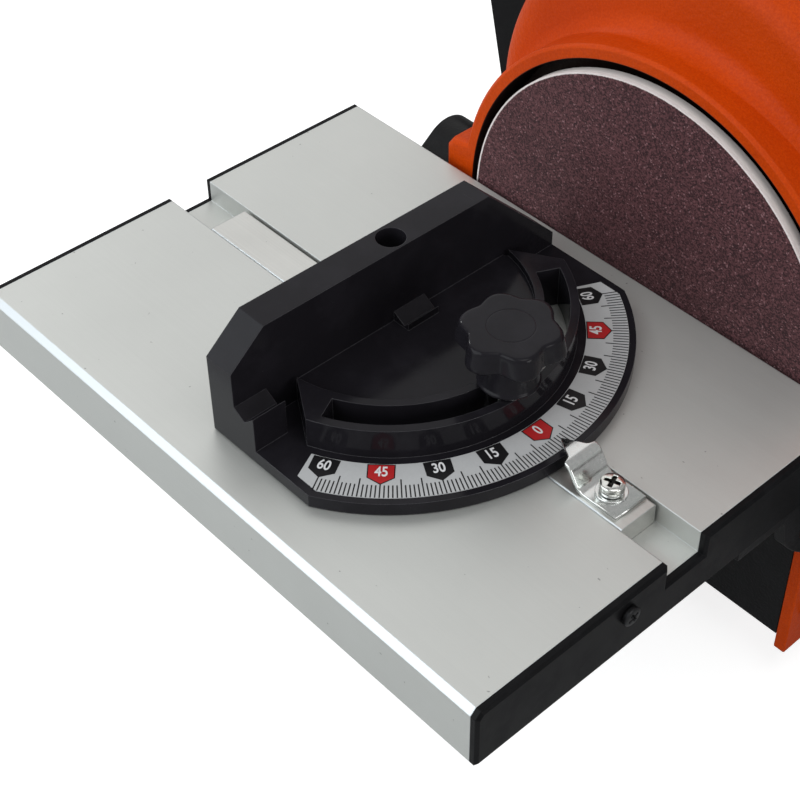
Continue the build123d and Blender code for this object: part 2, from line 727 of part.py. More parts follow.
bracket_screw = screw(M6, BRACKET_FOOT_T + PLINTH_WALL)
casting_screws = [Pos(x, y, PLINTH_TOP + BRACKET_FOOT_T) * bracket_screw for x, y in BRACKET_SCREW_SPOTS]
house_screw = FACE_BACK * screw(M6, BRACKET_T + CASE_DEEP - WALL_T - HOLE_SPARE)
casting_screws += [Pos(x, behind(BRACKET_BACK), z) * house_screw for x, z in HOUSE_SCREW_SPOTS]
export_step(group(casting_screws), "parts/casting_screws.step")
rest_bolt = rod_z(REST_R, REST_X, behind(rest_depth), rest_top - REST_DROP, rest_top)
rest_hex = extrude(RegularPolygon(REST_HEAD_R, 6), REST_HEAD_T)
rest_bolt += Pos(REST_X, behind(rest_depth), rest_top - REST_DROP) * rest_hex
rest_nut = Pos(REST_X, behind(rest_depth), lug_top) * rest_hex
rest_nut -= rod_z(REST_R + SCREW_FIT, REST_X, behind(rest_depth), lug_top, lug_top + REST_HEAD_T)
export_step(group([rest_bolt, rest_nut]), "parts/tilt_stop_screw.step")


# A plain bearing ring along y
def bearing(x, z, front, width, bore, outside):
    ring_solid = rod_y(outside, x, behind(front), behind(front + width), z)
    return ring_solid - rod_y(bore + RUN_FIT, x, behind(front), behind(front + width), z)


seat_front = HOUSE_BACK + SEAT_LIP
drum_bearings = [
    bearing(0, DRUM_Z, seat_front, BEARING_W, DRUM_SHAFT_R, SEAT_R),
    bearing(0, DRUM_Z, BOSS_BACK - BEARING_W, BEARING_W, DRUM_SHAFT_R, SEAT_R),
]
export_step(group(drum_bearings), "parts/drum_bearings.step")

# Motor
motor_front = BRACKET_BACK
motor_back = motor_front + MOTOR_LONG
motor_inner = MOTOR_R - MOTOR_WALL
front_seat = motor_front + MOTOR_END_T + MOTOR_BOSS_LONG - MOTOR_BEARING_W
rear_seat = motor_back - MOTOR_BEARING_W + MOTOR_BELL_T / 2
can = rod_y(MOTOR_R, 0, behind(motor_front), behind(motor_back), DISC_Z)
can -= rod_y(motor_inner, 0, behind(motor_front + MOTOR_END_T), behind(motor_back), DISC_Z)
can += rod_y(MOTOR_BOSS_R, 0, behind(motor_front), behind(front_seat + MOTOR_BEARING_W), DISC_Z)
can -= rod_y(MOTOR_SEAT_R + SEAT_FIT, 0, behind(front_seat), behind(front_seat + MOTOR_BEARING_W), DISC_Z)
can -= rod_y(SHAFT_R + AIR_GAP, 0, behind(motor_front), behind(front_seat), DISC_Z)
for x, z in MOTOR_SCREW_SPOTS:
    can -= rod_y(M5[0] + SCREW_FIT, x, behind(motor_front), behind(motor_front + MOTOR_END_T), z)
export_step(can, "parts/motor_can.step")
motor_screw = FACE_FRONT * screw(M5, BRACKET_T + MOTOR_END_T)
motor_screws = [Pos(x, behind(HOUSE_BACK), z) * motor_screw for x, z in MOTOR_SCREW_SPOTS]
export_step(group(motor_screws), "parts/motor_screws.step")

bell = rod_y(MOTOR_R, 0, behind(motor_back), behind(motor_back + MOTOR_BELL_T), DISC_Z)
bell += rod_y(MOTOR_BOSS_R, 0, behind(rear_seat), behind(motor_back), DISC_Z)
bell -= rod_y(MOTOR_SEAT_R + SEAT_FIT, 0, behind(rear_seat), behind(rear_seat + MOTOR_BEARING_W), DISC_Z)
bell -= rod_y(SHAFT_R + AIR_GAP, 0, behind(rear_seat), behind(motor_back + MOTOR_BELL_T), DISC_Z)
export_step(bell, "parts/motor_rear_bell.step")
motor_bearings = [
    bearing(0, DISC_Z, front_seat, MOTOR_BEARING_W, SHAFT_R, MOTOR_SEAT_R),
    bearing(0, DISC_Z, rear_seat, MOTOR_BEARING_W, SHAFT_R, MOTOR_SEAT_R),
]
export_step(group(motor_bearings), "parts/motor_bearings.step")
stack_front = motor_front + STACK_START
stack_back = stack_front + STACK_LONG
stator = rod_y(motor_inner - SEAT_FIT, 0, behind(stack_front), behind(stack_back), DISC_Z)
stator -= rod_y(ROTOR_R + AIR_GAP, 0, behind(stack_front), behind(stack_back), DISC_Z)
export_step(stator, "parts/motor_stator.step")
fan_front = motor_back + MOTOR_BELL_T + FAN_GAP
grit_back = DISC_GAP + GRIT_T
hub_back = grit_back + DISC_T + HUB_LONG
rotor = rod_y(ROTOR_R, 0, behind(stack_front), behind(stack_back), DISC_Z)
rotor += rod_y(SHAFT_R, 0, behind(grit_back + DISC_T), behind(fan_front + FAN_T), DISC_Z)
export_step(rotor, "parts/motor_rotor.step")

fan = rod_y(FAN_R, 0, behind(fan_front), behind(fan_front + FAN_BLADE_T), DISC_Z)
for k in range(FAN_BLADES):
    blade = box(HUB_R / 2 + SHAFT_R / 2, FAN_R, 0, FAN_T, -FAN_BLADE_T / 2, FAN_BLADE_T / 2)
    fan += Pos(0, behind(fan_front), DISC_Z) * Rot(0, 360 * k / FAN_BLADES, 0) * blade
fan += rod_y(HUB_R, 0, behind(fan_front), behind(fan_front + FAN_T), DISC_Z)
fan -= rod_y(SHAFT_R + SEAT_FIT, 0, behind(fan_front), behind(fan_front + FAN_T), DISC_Z)
export_step(fan, "parts/cooling_fan.step")

cover_back = HOUSE_BACK + BASE_DEEP
cover = along_y(arch(COVER_R, PLINTH_TOP, DISC_Z), behind(cover_front), behind(cover_back))
back_rim = cover.faces().sort_by(Axis.Y)[-1].edges().filter_by(lambda e: e.center().Z > PLINTH_TOP + EDGE_PICK)
cover = fillet(back_rim, COVER_ROUND)
cover_wall = behind(cover_back - COVER_WALL)
cover -= along_y(arch(COVER_R - COVER_WALL, PLINTH_TOP, DISC_Z), behind(cover_front), cover_wall)
vent_low = DISC_Z - VENT_PITCH * (VENT_COUNT - 1) / 2
for k in range(VENT_COUNT):
    z = vent_low + k * VENT_PITCH
    cover -= box(-VENT_W / 2, VENT_W / 2, cover_wall, behind(cover_back), z - VENT_H / 2, z + VENT_H / 2)
for x, y in COVER_SCREW_SPOTS:
    side = math.copysign(1, x)
    inner = side * (COVER_R - COVER_WALL / 2)
    outer = side * (COVER_R + COVER_TAB)
    cover += box(min(inner, outer), max(inner, outer), y - COVER_TAB / 2, y + COVER_TAB / 2,
                 PLINTH_TOP, PLINTH_TOP + COVER_TAB_T)
    cover -= rod_z(M4[0] + SCREW_FIT, x, y, PLINTH_TOP, PLINTH_TOP + COVER_TAB_T)
export_step(cover, "parts/motor_cover.step")
cover_screw = screw(M4, COVER_TAB_T + PLINTH_WALL, cross=True)
cover_screws += [Pos(x, y, PLINTH_TOP + COVER_TAB_T) * cover_screw for x, y in COVER_SCREW_SPOTS]

# Disc plate and abrasive
disc = rod_y(DISC_R, 0, behind(grit_back), behind(grit_back + DISC_T), DISC_Z)
disc += rod_y(HUB_R, 0, behind(grit_back + DISC_T), behind(hub_back), DISC_Z)
disc -= rod_y(SHAFT_R + SEAT_FIT, 0, behind(grit_back + DISC_T), behind(hub_back), DISC_Z)
export_step(disc, "parts/disc_plate.step")
grit = rod_y(DISC_R, 0, behind(DISC_GAP), behind(grit_back), DISC_Z)
export_step(grit, "parts/sanding_disc.step")


# Pulleys and the belt round them
def pulley(r, bore, z):
    front = WALL_BACK + PULLEY_GAP
    back = front + PULLEY_W
    body = rod_y(r, 0, behind(front), behind(back), z)
    body += rod_y(r + FLANGE_RISE, 0, behind(front), behind(front + FLANGE_T), z)
    body += rod_y(r + FLANGE_RISE, 0, behind(back - FLANGE_T), behind(back), z)
    return body - rod_y(bore + SEAT_FIT, 0, behind(front), behind(back), z)


export_step(pulley(DRIVE_R, SHAFT_R, DISC_Z), "parts/drive_pulley.step")
export_step(pulley(DRIVEN_R, DRUM_SHAFT_R, DRUM_Z), "parts/driven_pulley.step")


def belt_hull(extra):
    low = Pos(0, DISC_Z) * Circle(DRIVE_R + extra)
    high = Pos(0, DRUM_Z) * Circle(DRIVEN_R + extra)
    return make_hull(low.edges() + high.edges())


belt_front = WALL_BACK + PULLEY_GAP + FLANGE_T + FACE_GAP
belt_back = WALL_BACK + PULLEY_GAP + PULLEY_W - FLANGE_T - FACE_GAP
drive_belt = along_y(belt_hull(DRIVE_BELT_FIT + DRIVE_BELT_T), behind(belt_front), behind(belt_back))
drive_belt -= along_y(belt_hull(DRIVE_BELT_FIT), behind(belt_front), behind(belt_back))
export_step(drive_belt, "parts/drive_belt.step")

# Drive drum and its shaft
drum = rod_y(DRUM_R, 0, behind(DRUM_FRONT), behind(DRUM_BACK), DRUM_Z)
drum -= rod_y(DRUM_DISH_R, 0, behind(DRUM_BACK - DRUM_DISH), behind(DRUM_BACK), DRUM_Z)
drum += rod_y(DRUM_SHAFT_R, 0, behind(WALL_BACK + PULLEY_GAP / 2), behind(DRUM_FRONT), DRUM_Z)
export_step(drum, "parts/drive_drum.step")

# Belt unit frame: side plate, box beam inside the belt loop, guide for the yoke stem
frame_end = IDLER_X - FRAME_END_BACK
beam_end = IDLER_X - BEAM_END_BACK
guide_x = IDLER_X - GUIDE_BACK
tie_x = IDLER_X - TIE_BACK
lever_x = tie_x + TIE_T / 2 + CAM_GAP + CAM_R - CAM_OFFSET * math.sqrt(0.5)
track_x = IDLER_X - TRACK_BACK
hub_r = BOSS_R + FRAME_HUB_WALL
plate_face = Pos(frame_end / 2, DRUM_Z) * Rectangle(frame_end, FRAME_H) + Pos(0, DRUM_Z) * Circle(hub_r)
frame = along_y(plate_face, behind(FRAME_FRONT), behind(FRAME_BACK))
beam_back = BELT_BACK - DRUM_GAP
frame += box(BEAM_START, beam_end, behind(FRAME_BACK), behind(beam_back), BEAM_LOW, BEAM_TOP)
frame -= box(BEAM_START + BEAM_WALL, beam_end - BEAM_WALL, behind(FRAME_BACK), behind(beam_back),
             BEAM_LOW + BEAM_FLOOR_T, BEAM_TOP - BEAM_WALL)
guide_deep = BELT_MID + 2 * STEM_R
frame += box(guide_x - GUIDE_T / 2, guide_x + GUIDE_T / 2, behind(FRAME_BACK), behind(guide_deep),
             BEAM_LOW, BEAM_TOP)
frame -= rod_x(STEM_R + RUN_FIT, guide_x - GUIDE_T, beam_end, behind(BELT_MID), DRUM_Z)
frame -= rod_y(BOSS_R + RUN_FIT, 0, behind(FRAME_FRONT), behind(FRAME_BACK), DRUM_Z)
frame -= rod_y(LEVER_SHAFT_R + RUN_FIT, lever_x, behind(FRAME_FRONT), behind(FRAME_BACK), DRUM_Z)
frame -= rod_y(TRACK_R + RUN_FIT, track_x, behind(FRAME_FRONT), behind(FRAME_BACK), DRUM_Z)
lock_depth = (FRAME_FRONT + FRAME_BACK) / 2
lock_low = BOSS_R + FACE_GAP
frame -= rod_z(LOCK_SCREW_R + SCREW_FIT, 0, behind(lock_depth), DRUM_Z + BOSS_R, DRUM_Z + hub_r)
stop_leg_end = BEAM_START - FACE_GAP
leg_low = DRUM_Z + FRAME_H / 2 - STOP_LEG_DOWN
STOP_SCREW_SPOTS = [((STOP_X + stop_leg_end) / 2, leg_low + STOP_LEG_DOWN * k) for k in (0.25, 0.75)]
for x, z in STOP_SCREW_SPOTS:
    frame -= rod_y(M4[0] + SCREW_FIT, x, behind(FRAME_FRONT), behind(FRAME_BACK), z)
export_step(frame, "parts/belt_frame.step")

lock_screw = rod_z(LOCK_SCREW_R, 0, behind(lock_depth), DRUM_Z + lock_low, DRUM_Z + hub_r - FACE_GAP)
lock_hex = extrude(RegularPolygon(LOCK_HEX_R, 6), FRAME_HUB_WALL / 2)
lock_screw -= Pos(0, behind(lock_depth), DRUM_Z + hub_r - FRAME_HUB_WALL / 2) * lock_hex
export_step(lock_screw, "parts/belt_lock_screw.step")

platen_end = IDLER_X - PLATEN_END_BACK
platen = box(PLATEN_START, platen_end, behind(BELT_FRONT), behind(BELT_BACK), BEAM_TOP, PLATEN_TOP)
export_step(platen, "parts/platen.step")


def belt_outline(r):
    return Pos(IDLER_X / 2, DRUM_Z) * SlotCenterToCenter(IDLER_X, 2 * r)


belt_loop = belt_outline(BELT_OUT_R) - belt_outline(BELT_IN_R)
sanding_belt = along_y(belt_loop, behind(BELT_FRONT), behind(BELT_BACK))
export_step(sanding_belt, "parts/sanding_belt.step")

# Idler yoke on its stem, axle, drum
arm_front = DRUM_FRONT - YOKE_GAP - YOKE_T
arm_back = DRUM_BACK + YOKE_GAP + YOKE_T
bridge_x = IDLER_X - BRIDGE_BACK
yoke_low = DRUM_Z - YOKE_H / 2
yoke_high = DRUM_Z + YOKE_H / 2
yoke = box(bridge_x - BRIDGE_T, bridge_x, behind(arm_front), behind(arm_back), yoke_low, yoke_high)
for depth in (arm_front, arm_back - YOKE_T):
    yoke += box(bridge_x - BRIDGE_T, IDLER_X, behind(depth), behind(depth + YOKE_T), yoke_low, yoke_high)
    yoke += rod_y(YOKE_H / 2, IDLER_X, behind(depth), behind(depth + YOKE_T), DRUM_Z)
stem_tail = IDLER_X - STEM_TAIL_BACK
yoke += rod_x(STEM_R, stem_tail, bridge_x - BRIDGE_T / 2, behind(BELT_MID), DRUM_Z)
cam_front = FRAME_BACK + 2 * CAM_T
yoke += box(tie_x - TIE_T / 2, tie_x + TIE_T / 2, behind(cam_front - CAM_T / 3), behind(guide_deep),
            DRUM_Z - TIE_H / 2, DRUM_Z + TIE_H / 2)
yoke -= rod_y(AXLE_R + SEAT_FIT, IDLER_X, behind(arm_front), behind(arm_back), DRUM_Z)
export_step(yoke, "parts/idler_yoke.step")
axle = rod_y(AXLE_R, IDLER_X, behind(arm_front), behind(arm_back), DRUM_Z)
axle_hex = Pos(IDLER_X, DRUM_Z) * RegularPolygon(AXLE_HEAD_R, 6)
axle += along_y(axle_hex, behind(arm_front - AXLE_HEAD_T), behind(arm_front))
axle += along_y(axle_hex, behind(arm_back), behind(arm_back + AXLE_HEAD_T))
export_step(axle, "parts/idler_axle.step")
idler = rod_y(DRUM_R, IDLER_X, behind(DRUM_FRONT), behind(DRUM_BACK), DRUM_Z)
idler -= rod_y(DRUM_DISH_R, IDLER_X, behind(DRUM_BACK - DRUM_DISH), behind(DRUM_BACK), DRUM_Z)
idler -= rod_y(DRUM_DISH_R, IDLER_X, behind(DRUM_FRONT), behind(DRUM_FRONT + DRUM_DISH), DRUM_Z)
idler += rod_y(AXLE_R * 2, IDLER_X, behind(DRUM_FRONT), behind(DRUM_BACK), DRUM_Z)
idler -= rod_y(AXLE_R + RUN_FIT, IDLER_X, behind(DRUM_FRONT), behind(DRUM_BACK), DRUM_Z)
export_step(idler, "parts/idler_drum.step")

# Tension spring round the stem: quarter turns, each of two arcs that meet smoothly
spring_x0 = guide_x + GUIDE_T / 2 + SPRING_END + SPRING_WIRE_R
spring_x1 = tie_x - TIE_T / 2 - SPRING_END - SPRING_WIRE_R
spring_rise = (spring_x1 - spring_x0) / (2 * math.pi * SPRING_TURNS)


def coil_point(a):
    y = behind(BELT_MID) + SPRING_COIL_R * math.cos(a)
    return Vector(spring_x0 + spring_rise * a, y, DRUM_Z + SPRING_COIL_R * math.sin(a))


def coil_way(a):
    return Vector(spring_rise, -SPRING_COIL_R * math.sin(a), SPRING_COIL_R * math.cos(a)).normalized()


def two_arcs(a0, a1):
    p0, p1 = coil_point(a0), coil_point(a1)
    t0, t1 = coil_way(a0), coil_way(a1)
    chord = p1 - p0
    qa = 2 * t0.dot(t1) - 2
    qb = -2 * chord.dot(t0 + t1)
    qc = chord.dot(chord)
    d = (-qb - math.sqrt(qb * qb - 4 * qa * qc)) / (2 * qa)
    joint = ((p0 + t0 * d) + (p1 - t1 * d)) * 0.5
    way = ((p1 - t1 * d) - (p0 + t0 * d)).normalized()
    return [Edge.make_tangent_arc(p0, t0, joint), Edge.make_tangent_arc(joint, way, p1)]


spring_edges = []
for k in range(4 * SPRING_TURNS):
    spring_edges += two_arcs(k * math.pi / 2, (k + 1) * math.pi / 2)
spring_path = Wire(spring_edges)
spring_start = Plane(coil_point(0), z_dir=coil_way(0))
spring = sweep(spring_start * Circle(SPRING_WIRE_R), path=spring_path)
export_step(spring, "parts/tension_spring.step")
spring_points = [coil_point(k * math.pi / 24) for k in range(48 * SPRING_TURNS + 1)]
spring_least = min((spring_points[i] - spring_points[j]).length
                   for i in range(len(spring_points)) for j in range(i + 24, len(spring_points)))
print("tension spring: least gap between turns", round(spring_least - 2 * SPRING_WIRE_R, 2), "mm")

# Tension lever with its cam, tracking knob
lever_front = FRAME_FRONT - FACE_GAP - LEVER_HUB_T
lever = rod_y(LEVER_HUB_R, lever_x, behind(lever_front), behind(FRAME_FRONT - FACE_GAP), DRUM_Z)
lever += rod_y(LEVER_SHAFT_R, lever_x, behind(lever_front), behind(cam_front + CAM_T), DRUM_Z)
cam_shift = CAM_OFFSET * math.sqrt(0.5)
lever += rod_y(CAM_R, lever_x + cam_shift, behind(cam_front), behind(cam_front + CAM_T), DRUM_Z + cam_shift)
lever_arm_depth = lever_front + LEVER_HUB_T / 2
lever += box(lever_x, lever_x + LEVER_LONG, behind(lever_arm_depth - LEVER_ARM_T / 2),
             behind(lever_arm_depth + LEVER_ARM_T / 2), DRUM_Z - LEVER_ARM_W / 2, DRUM_Z + LEVER_ARM_W / 2)
lever += Pos(lever_x + LEVER_LONG, behind(lever_arm_depth), DRUM_Z) * Sphere(LEVER_BALL_R)
export_step(lever, "parts/tension_lever.step")

track_tip = BELT_MID - STEM_R - FACE_GAP
track_grip = lobed(TRACK_KNOB_R, TRACK_KNOB_R * VALLEY_SHARE, KNOB_LOBES, 0, TRACK_KNOB_T, KNOB_ROUND)
track_back = behind(FRAME_FRONT - TRACK_COLLAR)
track = Pos(track_x, track_back, DRUM_Z) * FACE_FRONT * track_grip
track += rod_y(TRACK_R * 2, track_x, track_back, behind(FRAME_FRONT - FACE_GAP), DRUM_Z)
track += rod_y(TRACK_R, track_x, track_back, behind(track_tip), DRUM_Z)
export_step(track, "parts/tracking_knob.step")

# Work stop across the belt
stop_low = DRUM_Z + BELT_OUT_R + STOP_ABOVE_BELT
stop_high = stop_low + STOP_HIGH
stop = box(STOP_X, STOP_X + STOP_T, behind(FRAME_BACK), behind(BELT_BACK + STOP_T), stop_low, stop_high)
stop += box(STOP_X, stop_leg_end, behind(FRAME_BACK), behind(FRAME_BACK + STOP_T), leg_low, stop_high)
for x, z in STOP_SCREW_SPOTS:
    stop -= rod_y(M4[0] + SCREW_FIT, x, behind(FRAME_BACK), behind(FRAME_BACK + STOP_T), z)
export_step(stop, "parts/work_stop.step")
stop_screw = FACE_BACK * screw(M4, STOP_T + FRAME_T, cross=True)
stop_screws = [Pos(x, behind(FRAME_BACK + STOP_T), z) * stop_screw for x, z in STOP_SCREW_SPOTS]
export_step(group(stop_screws), "parts/stop_screws.step")

# Dust hood beside the drive drum, with its outlet on the left
hood_front = BRACKET_BACK
hood_back = DRUM_BACK + HOOD_BACK_SPARE
mouth_x = -BELT_OUT_R - HOOD_MOUTH_GAP
mouth_low = hood_top - HOOD_MOUTH_H


def hood_left(z):
    return -HOOD_LEFT - HOOD_LEAN * (z - HOOD_LOW)


w = HOOD_WALL
hood_outer = polygon((hood_left(HOOD_LOW), HOOD_LOW), (hood_left(hood_top), hood_top), (mouth_x, hood_top),
                     (mouth_x, mouth_low), (-HOOD_INNER, HOOD_KNEE), (-HOOD_INNER, HOOD_LOW))
hood_inner = polygon((hood_left(HOOD_LOW + w) + w, HOOD_LOW + w), (hood_left(hood_top - w) + w, hood_top - w),
                     (mouth_x + w, hood_top - w), (mouth_x + w, mouth_low + 2 * w),
                     (mouth_x - w, mouth_low + w),
                     (-HOOD_INNER - w, HOOD_KNEE + w), (-HOOD_INNER - w, HOOD_LOW + w))
hood = along_y(hood_outer, behind(hood_front), behind(hood_back))
port_depth = (hood_front + hood_back) / 2
port_root = hood_left(PORT_Z + PORT_R) + PORT_R
hood += rod_x(PORT_R, -PORT_TIP, port_root, behind(port_depth), PORT_Z)
hood += rod_x(PORT_COLLAR_R, -PORT_STOP, port_root, behind(port_depth), PORT_Z)
hood -= along_y(hood_inner, behind(hood_front + w), behind(hood_back - w))
hood -= rod_x(PORT_R - PORT_WALL, -PORT_TIP, port_root, behind(port_depth), PORT_Z)
for x, z in HOOD_SCREW_SPOTS:
    hood -= rod_y(M4[0] + SCREW_FIT, x, behind(hood_front), behind(hood_front + w), z)
export_step(hood, "parts/dust_hood.step")
hood_screw = FACE_BACK * screw(M4, w + BRACKET_T, cross=True)
cover_screws += [Pos(x, behind(hood_front + w), z) * hood_screw for x, z in HOOD_SCREW_SPOTS]
export_step(group(cover_screws), "parts/cover_screws.step")

# Table extrusion and end caps
slot_floor = TABLE_TOP - SLOT_DEEP
undercut = TABLE_T - TABLE_LIP
table_face = polygon(
    (behind(0), TABLE_TOP),
    (behind(0), TABLE_TOP - TABLE_LIP),
    (behind(-undercut), TABLE_UNDER),
    (behind(-TABLE_DEEP), TABLE_UNDER),
    (behind(-TABLE_DEEP), TABLE_TOP - TABLE_CHAMFER),
    (behind(-TABLE_DEEP + TABLE_CHAMFER), TABLE_TOP),
)
slot_face = polygon((behind(-SLOT_FRONT - SLOT_W), slot_floor), (behind(-SLOT_FRONT), slot_floor),
                    (behind(-SLOT_FRONT), TABLE_TOP), (behind(-SLOT_FRONT - SLOT_W), TABLE_TOP))
cap_face = table_face - slot_face
wall = TABLE_WALL
chamber_low = TABLE_UNDER + wall
chamber_high = TABLE_TOP - wall
lean = wall * math.sqrt(2)
near_y = behind(-SLOT_FRONT + wall)
far_y = behind(-TABLE_DEEP + wall + TABLE_CHAMFER)
web_y = behind(-WEB_FRONT)
chamber_near = polygon((near_y, chamber_high), (behind(-wall - lean), chamber_high),
                       (behind(-undercut - lean + wall), chamber_low), (near_y, chamber_low))
chamber_far = polygon((far_y, chamber_high), (web_y, chamber_high), (web_y, chamber_low), (far_y, chamber_low))
table = along_x(cap_face - chamber_near - chamber_far, TABLE_LEFT, TABLE_RIGHT)
cap_screw_y = behind(-CAP_SCREW_DEPTH)
cap_screw_z = TABLE_TOP - CAP_SCREW_DOWN
screw_hole = CAP_SCREW[0] + SCREW_FIT
table -= rod_x(screw_hole, TABLE_RIGHT - CAP_SCREW_LONG, TABLE_RIGHT, cap_screw_y, cap_screw_z)
table -= rod_x(screw_hole, TABLE_LEFT, TABLE_LEFT + CAP_SCREW_LONG, cap_screw_y, cap_screw_z)

near_cap = along_x(cap_face, TABLE_RIGHT, TABLE_RIGHT + CAP_T)
near_cap = chamfer(near_cap.faces().sort_by(Axis.X)[-1].edges(), CAP_CHAMFER)
near_cap -= rod_x(screw_hole, TABLE_RIGHT, TABLE_RIGHT + CAP_T, cap_screw_y, cap_screw_z)
far_cap = along_x(cap_face, TABLE_LEFT - CAP_T, TABLE_LEFT)
far_cap = chamfer(far_cap.faces().sort_by(Axis.X)[0].edges(), CAP_CHAMFER)
far_cap -= rod_x(screw_hole, TABLE_LEFT - CAP_T, TABLE_LEFT, cap_screw_y, cap_screw_z)
export_step(near_cap, "parts/near_end_cap.step")
export_step(far_cap, "parts/far_end_cap.step")
cap_screw = screw(CAP_SCREW, CAP_SCREW_LONG, cross=True)
cap_screws = [
    Pos(TABLE_RIGHT + CAP_T, cap_screw_y, cap_screw_z) * FACE_RIGHT * cap_screw,
    Pos(TABLE_LEFT - CAP_T, cap_screw_y, cap_screw_z) * FACE_LEFT * cap_screw,
]
export_step(group(cap_screws), "parts/cap_screws.step")


# Table arms: a boss on the pivot, a sector with the lock slot, a flange under the table
def about_pivot(r, degrees):
    a = math.radians(degrees)
    return (behind(PIVOT_BACK) + r * math.cos(a), PIVOT_Z + r * math.sin(a))


sector_r = ARC_R + ARC_EDGE
slot_spare = math.degrees(STUD_GAP / ARC_R) + SLOT_SPARE_ANGLE
slot_end = math.degrees((STUD_R + STUD_GAP + ARC_EDGE / 2) / ARC_R)
slot_start = -90 - TABLE_TILT - slot_spare
sector_back = -90 + slot_spare + slot_end
sector_front = slot_start - slot_end
sector_mid = (sector_back + sector_front) / 2


def arm_outline(front):
    centre = Pos(behind(PIVOT_BACK), PIVOT_Z)
    far = 2 * sector_r
    wedge = polygon(about_pivot(0, 0), about_pivot(far, sector_front), about_pivot(far, sector_mid),
                    about_pivot(far, sector_back))
    shape = centre * Circle(ARM_BOSS_R) + (centre * Circle(sector_r) & wedge)
    top = about_pivot(ARM_BOSS_R, ARM_TOP_ANGLE)
    fall = (top[1] - TABLE_UNDER) / math.tan(math.radians(ARM_TOP_ANGLE - 90))
    low = TABLE_UNDER - ARM_STEP
    shape += polygon(top, (top[0] - fall, TABLE_UNDER), (behind(-front), TABLE_UNDER), (behind(-front), low),
                     (behind(-ARM_FLANGE_BACK), low), about_pivot(sector_r, sector_front),
                     about_pivot(ARM_BOSS_R, ARM_NECK_ANGLE))
    track_arc = CenterArc(about_pivot(0, 0), ARC_R, slot_start, TABLE_TILT + 2 * slot_spare)
    shape -= SlotArc(track_arc, 2 * (STUD_R + STUD_GAP))
    shape -= centre * Circle(PIVOT_R + RUN_FIT)
    return shape


# Wide beam of the left arm, from the boss to the flange, above the sector plate's sweep
def beam_outline(front):
    top = about_pivot(ARM_BOSS_R, ARM_TOP_ANGLE)
    fall = (top[1] - TABLE_UNDER) / math.tan(math.radians(ARM_TOP_ANGLE - 90))
    low = TABLE_UNDER - ARM_STEP
    shape = Pos(behind(PIVOT_BACK), PIVOT_Z) * Circle(ARM_BOSS_R)
    shape += polygon(top, (top[0] - fall, TABLE_UNDER), (behind(-front), TABLE_UNDER), (behind(-front), low),
                     (behind(-ARM_FLANGE_BACK), low), about_pivot(ARM_BOSS_R, ARM_BEAM_ANGLE))
    return shape - Pos(behind(PIVOT_BACK), PIVOT_Z) * Circle(PIVOT_R + RUN_FIT)


arm_left_in = EAR_X - ARM_GAP
arm_left_out = arm_left_in - ARM_WIDE
arm_left_face = arm_left_in - ARM_T
arm_right_out = HOUSE_R + ARM_GAP + ARM_T
flange_low = TABLE_UNDER - ARM_FLANGE_T
left_arm = along_x(arm_outline(ARM_LEFT_FRONT), arm_left_face, arm_left_in)
left_arm += along_x(beam_outline(ARM_LEFT_FRONT), arm_left_out, arm_left_in)
left_arm += box(arm_left_out, -ARM_LEFT_IN, behind(-ARM_LEFT_FRONT), behind(-ARM_FLANGE_BACK),
                flange_low, TABLE_UNDER)
right_arm = along_x(arm_outline(ARM_RIGHT_FRONT), arm_right_out - ARM_T, arm_right_out)
right_arm += box(ARM_RIGHT_IN, arm_right_out, behind(-ARM_RIGHT_FRONT), behind(-ARM_FLANGE_BACK),
                 flange_low, TABLE_UNDER)
left_screw_x = (EAR_X - ARM_LEFT_IN) / 2
right_screw_depth = (ARM_RIGHT_FRONT + ARM_FLANGE_BACK) / 2
flange_inset = 2 * M5[1]
left_depths = (ARM_LEFT_FRONT - flange_inset, ARM_FLANGE_BACK + flange_inset)
LEFT_SCREWS = [(left_screw_x, behind(-depth)) for depth in left_depths]
right_places = (ARM_RIGHT_IN + flange_inset, RING_IN - flange_inset)
RIGHT_SCREWS = [(x, behind(-right_screw_depth)) for x in right_places]
for x, y in LEFT_SCREWS:
    left_arm -= rod_z(M5[0] + SCREW_FIT, x, y, flange_low, TABLE_UNDER)
for x, y in RIGHT_SCREWS:
    right_arm -= rod_z(M5[0] + SCREW_FIT, x, y, flange_low, TABLE_UNDER)
for x, y in LEFT_SCREWS + RIGHT_SCREWS:
    table -= rod_z(M5[0] + SCREW_FIT, x, y, TABLE_UNDER, TABLE_UNDER + wall)
export_step(table, "parts/table_plate.step")
export_step(left_arm, "parts/left_table_arm.step")
export_step(right_arm, "parts/right_table_arm.step")
arm_screw = FACE_DOWN * screw(M5, ARM_FLANGE_T + wall)
arm_screws = [Pos(x, y, flange_low) * arm_screw for x, y in LEFT_SCREWS + RIGHT_SCREWS]
export_step(group(arm_screws), "parts/arm_screws.step")

pivot_size = (PIVOT_R, PIVOT_HEAD_R, PIVOT_HEAD_T)
stud_long = FACE_GAP + ARM_T + ARM_GAP + STUD_DEEP - HOLE_SPARE
left_pivot = screw(pivot_size, stud_long + ARM_WIDE - ARM_T)
right_pivot = screw(pivot_size, stud_long)
right_guide = screw((STUD_R, PIVOT_HEAD_R, PIVOT_HEAD_T), stud_long)
pivot_screws = [
    Pos(arm_left_out - FACE_GAP, behind(PIVOT_BACK), PIVOT_Z) * FACE_LEFT * left_pivot,
    Pos(arm_right_out + FACE_GAP, behind(PIVOT_BACK), PIVOT_Z) * FACE_RIGHT * right_pivot,
    Pos(arm_right_out + FACE_GAP, behind(PIVOT_BACK), LOCK_Z) * FACE_RIGHT * right_guide,
]
export_step(group(pivot_screws), "parts/table_pivot_screws.step")

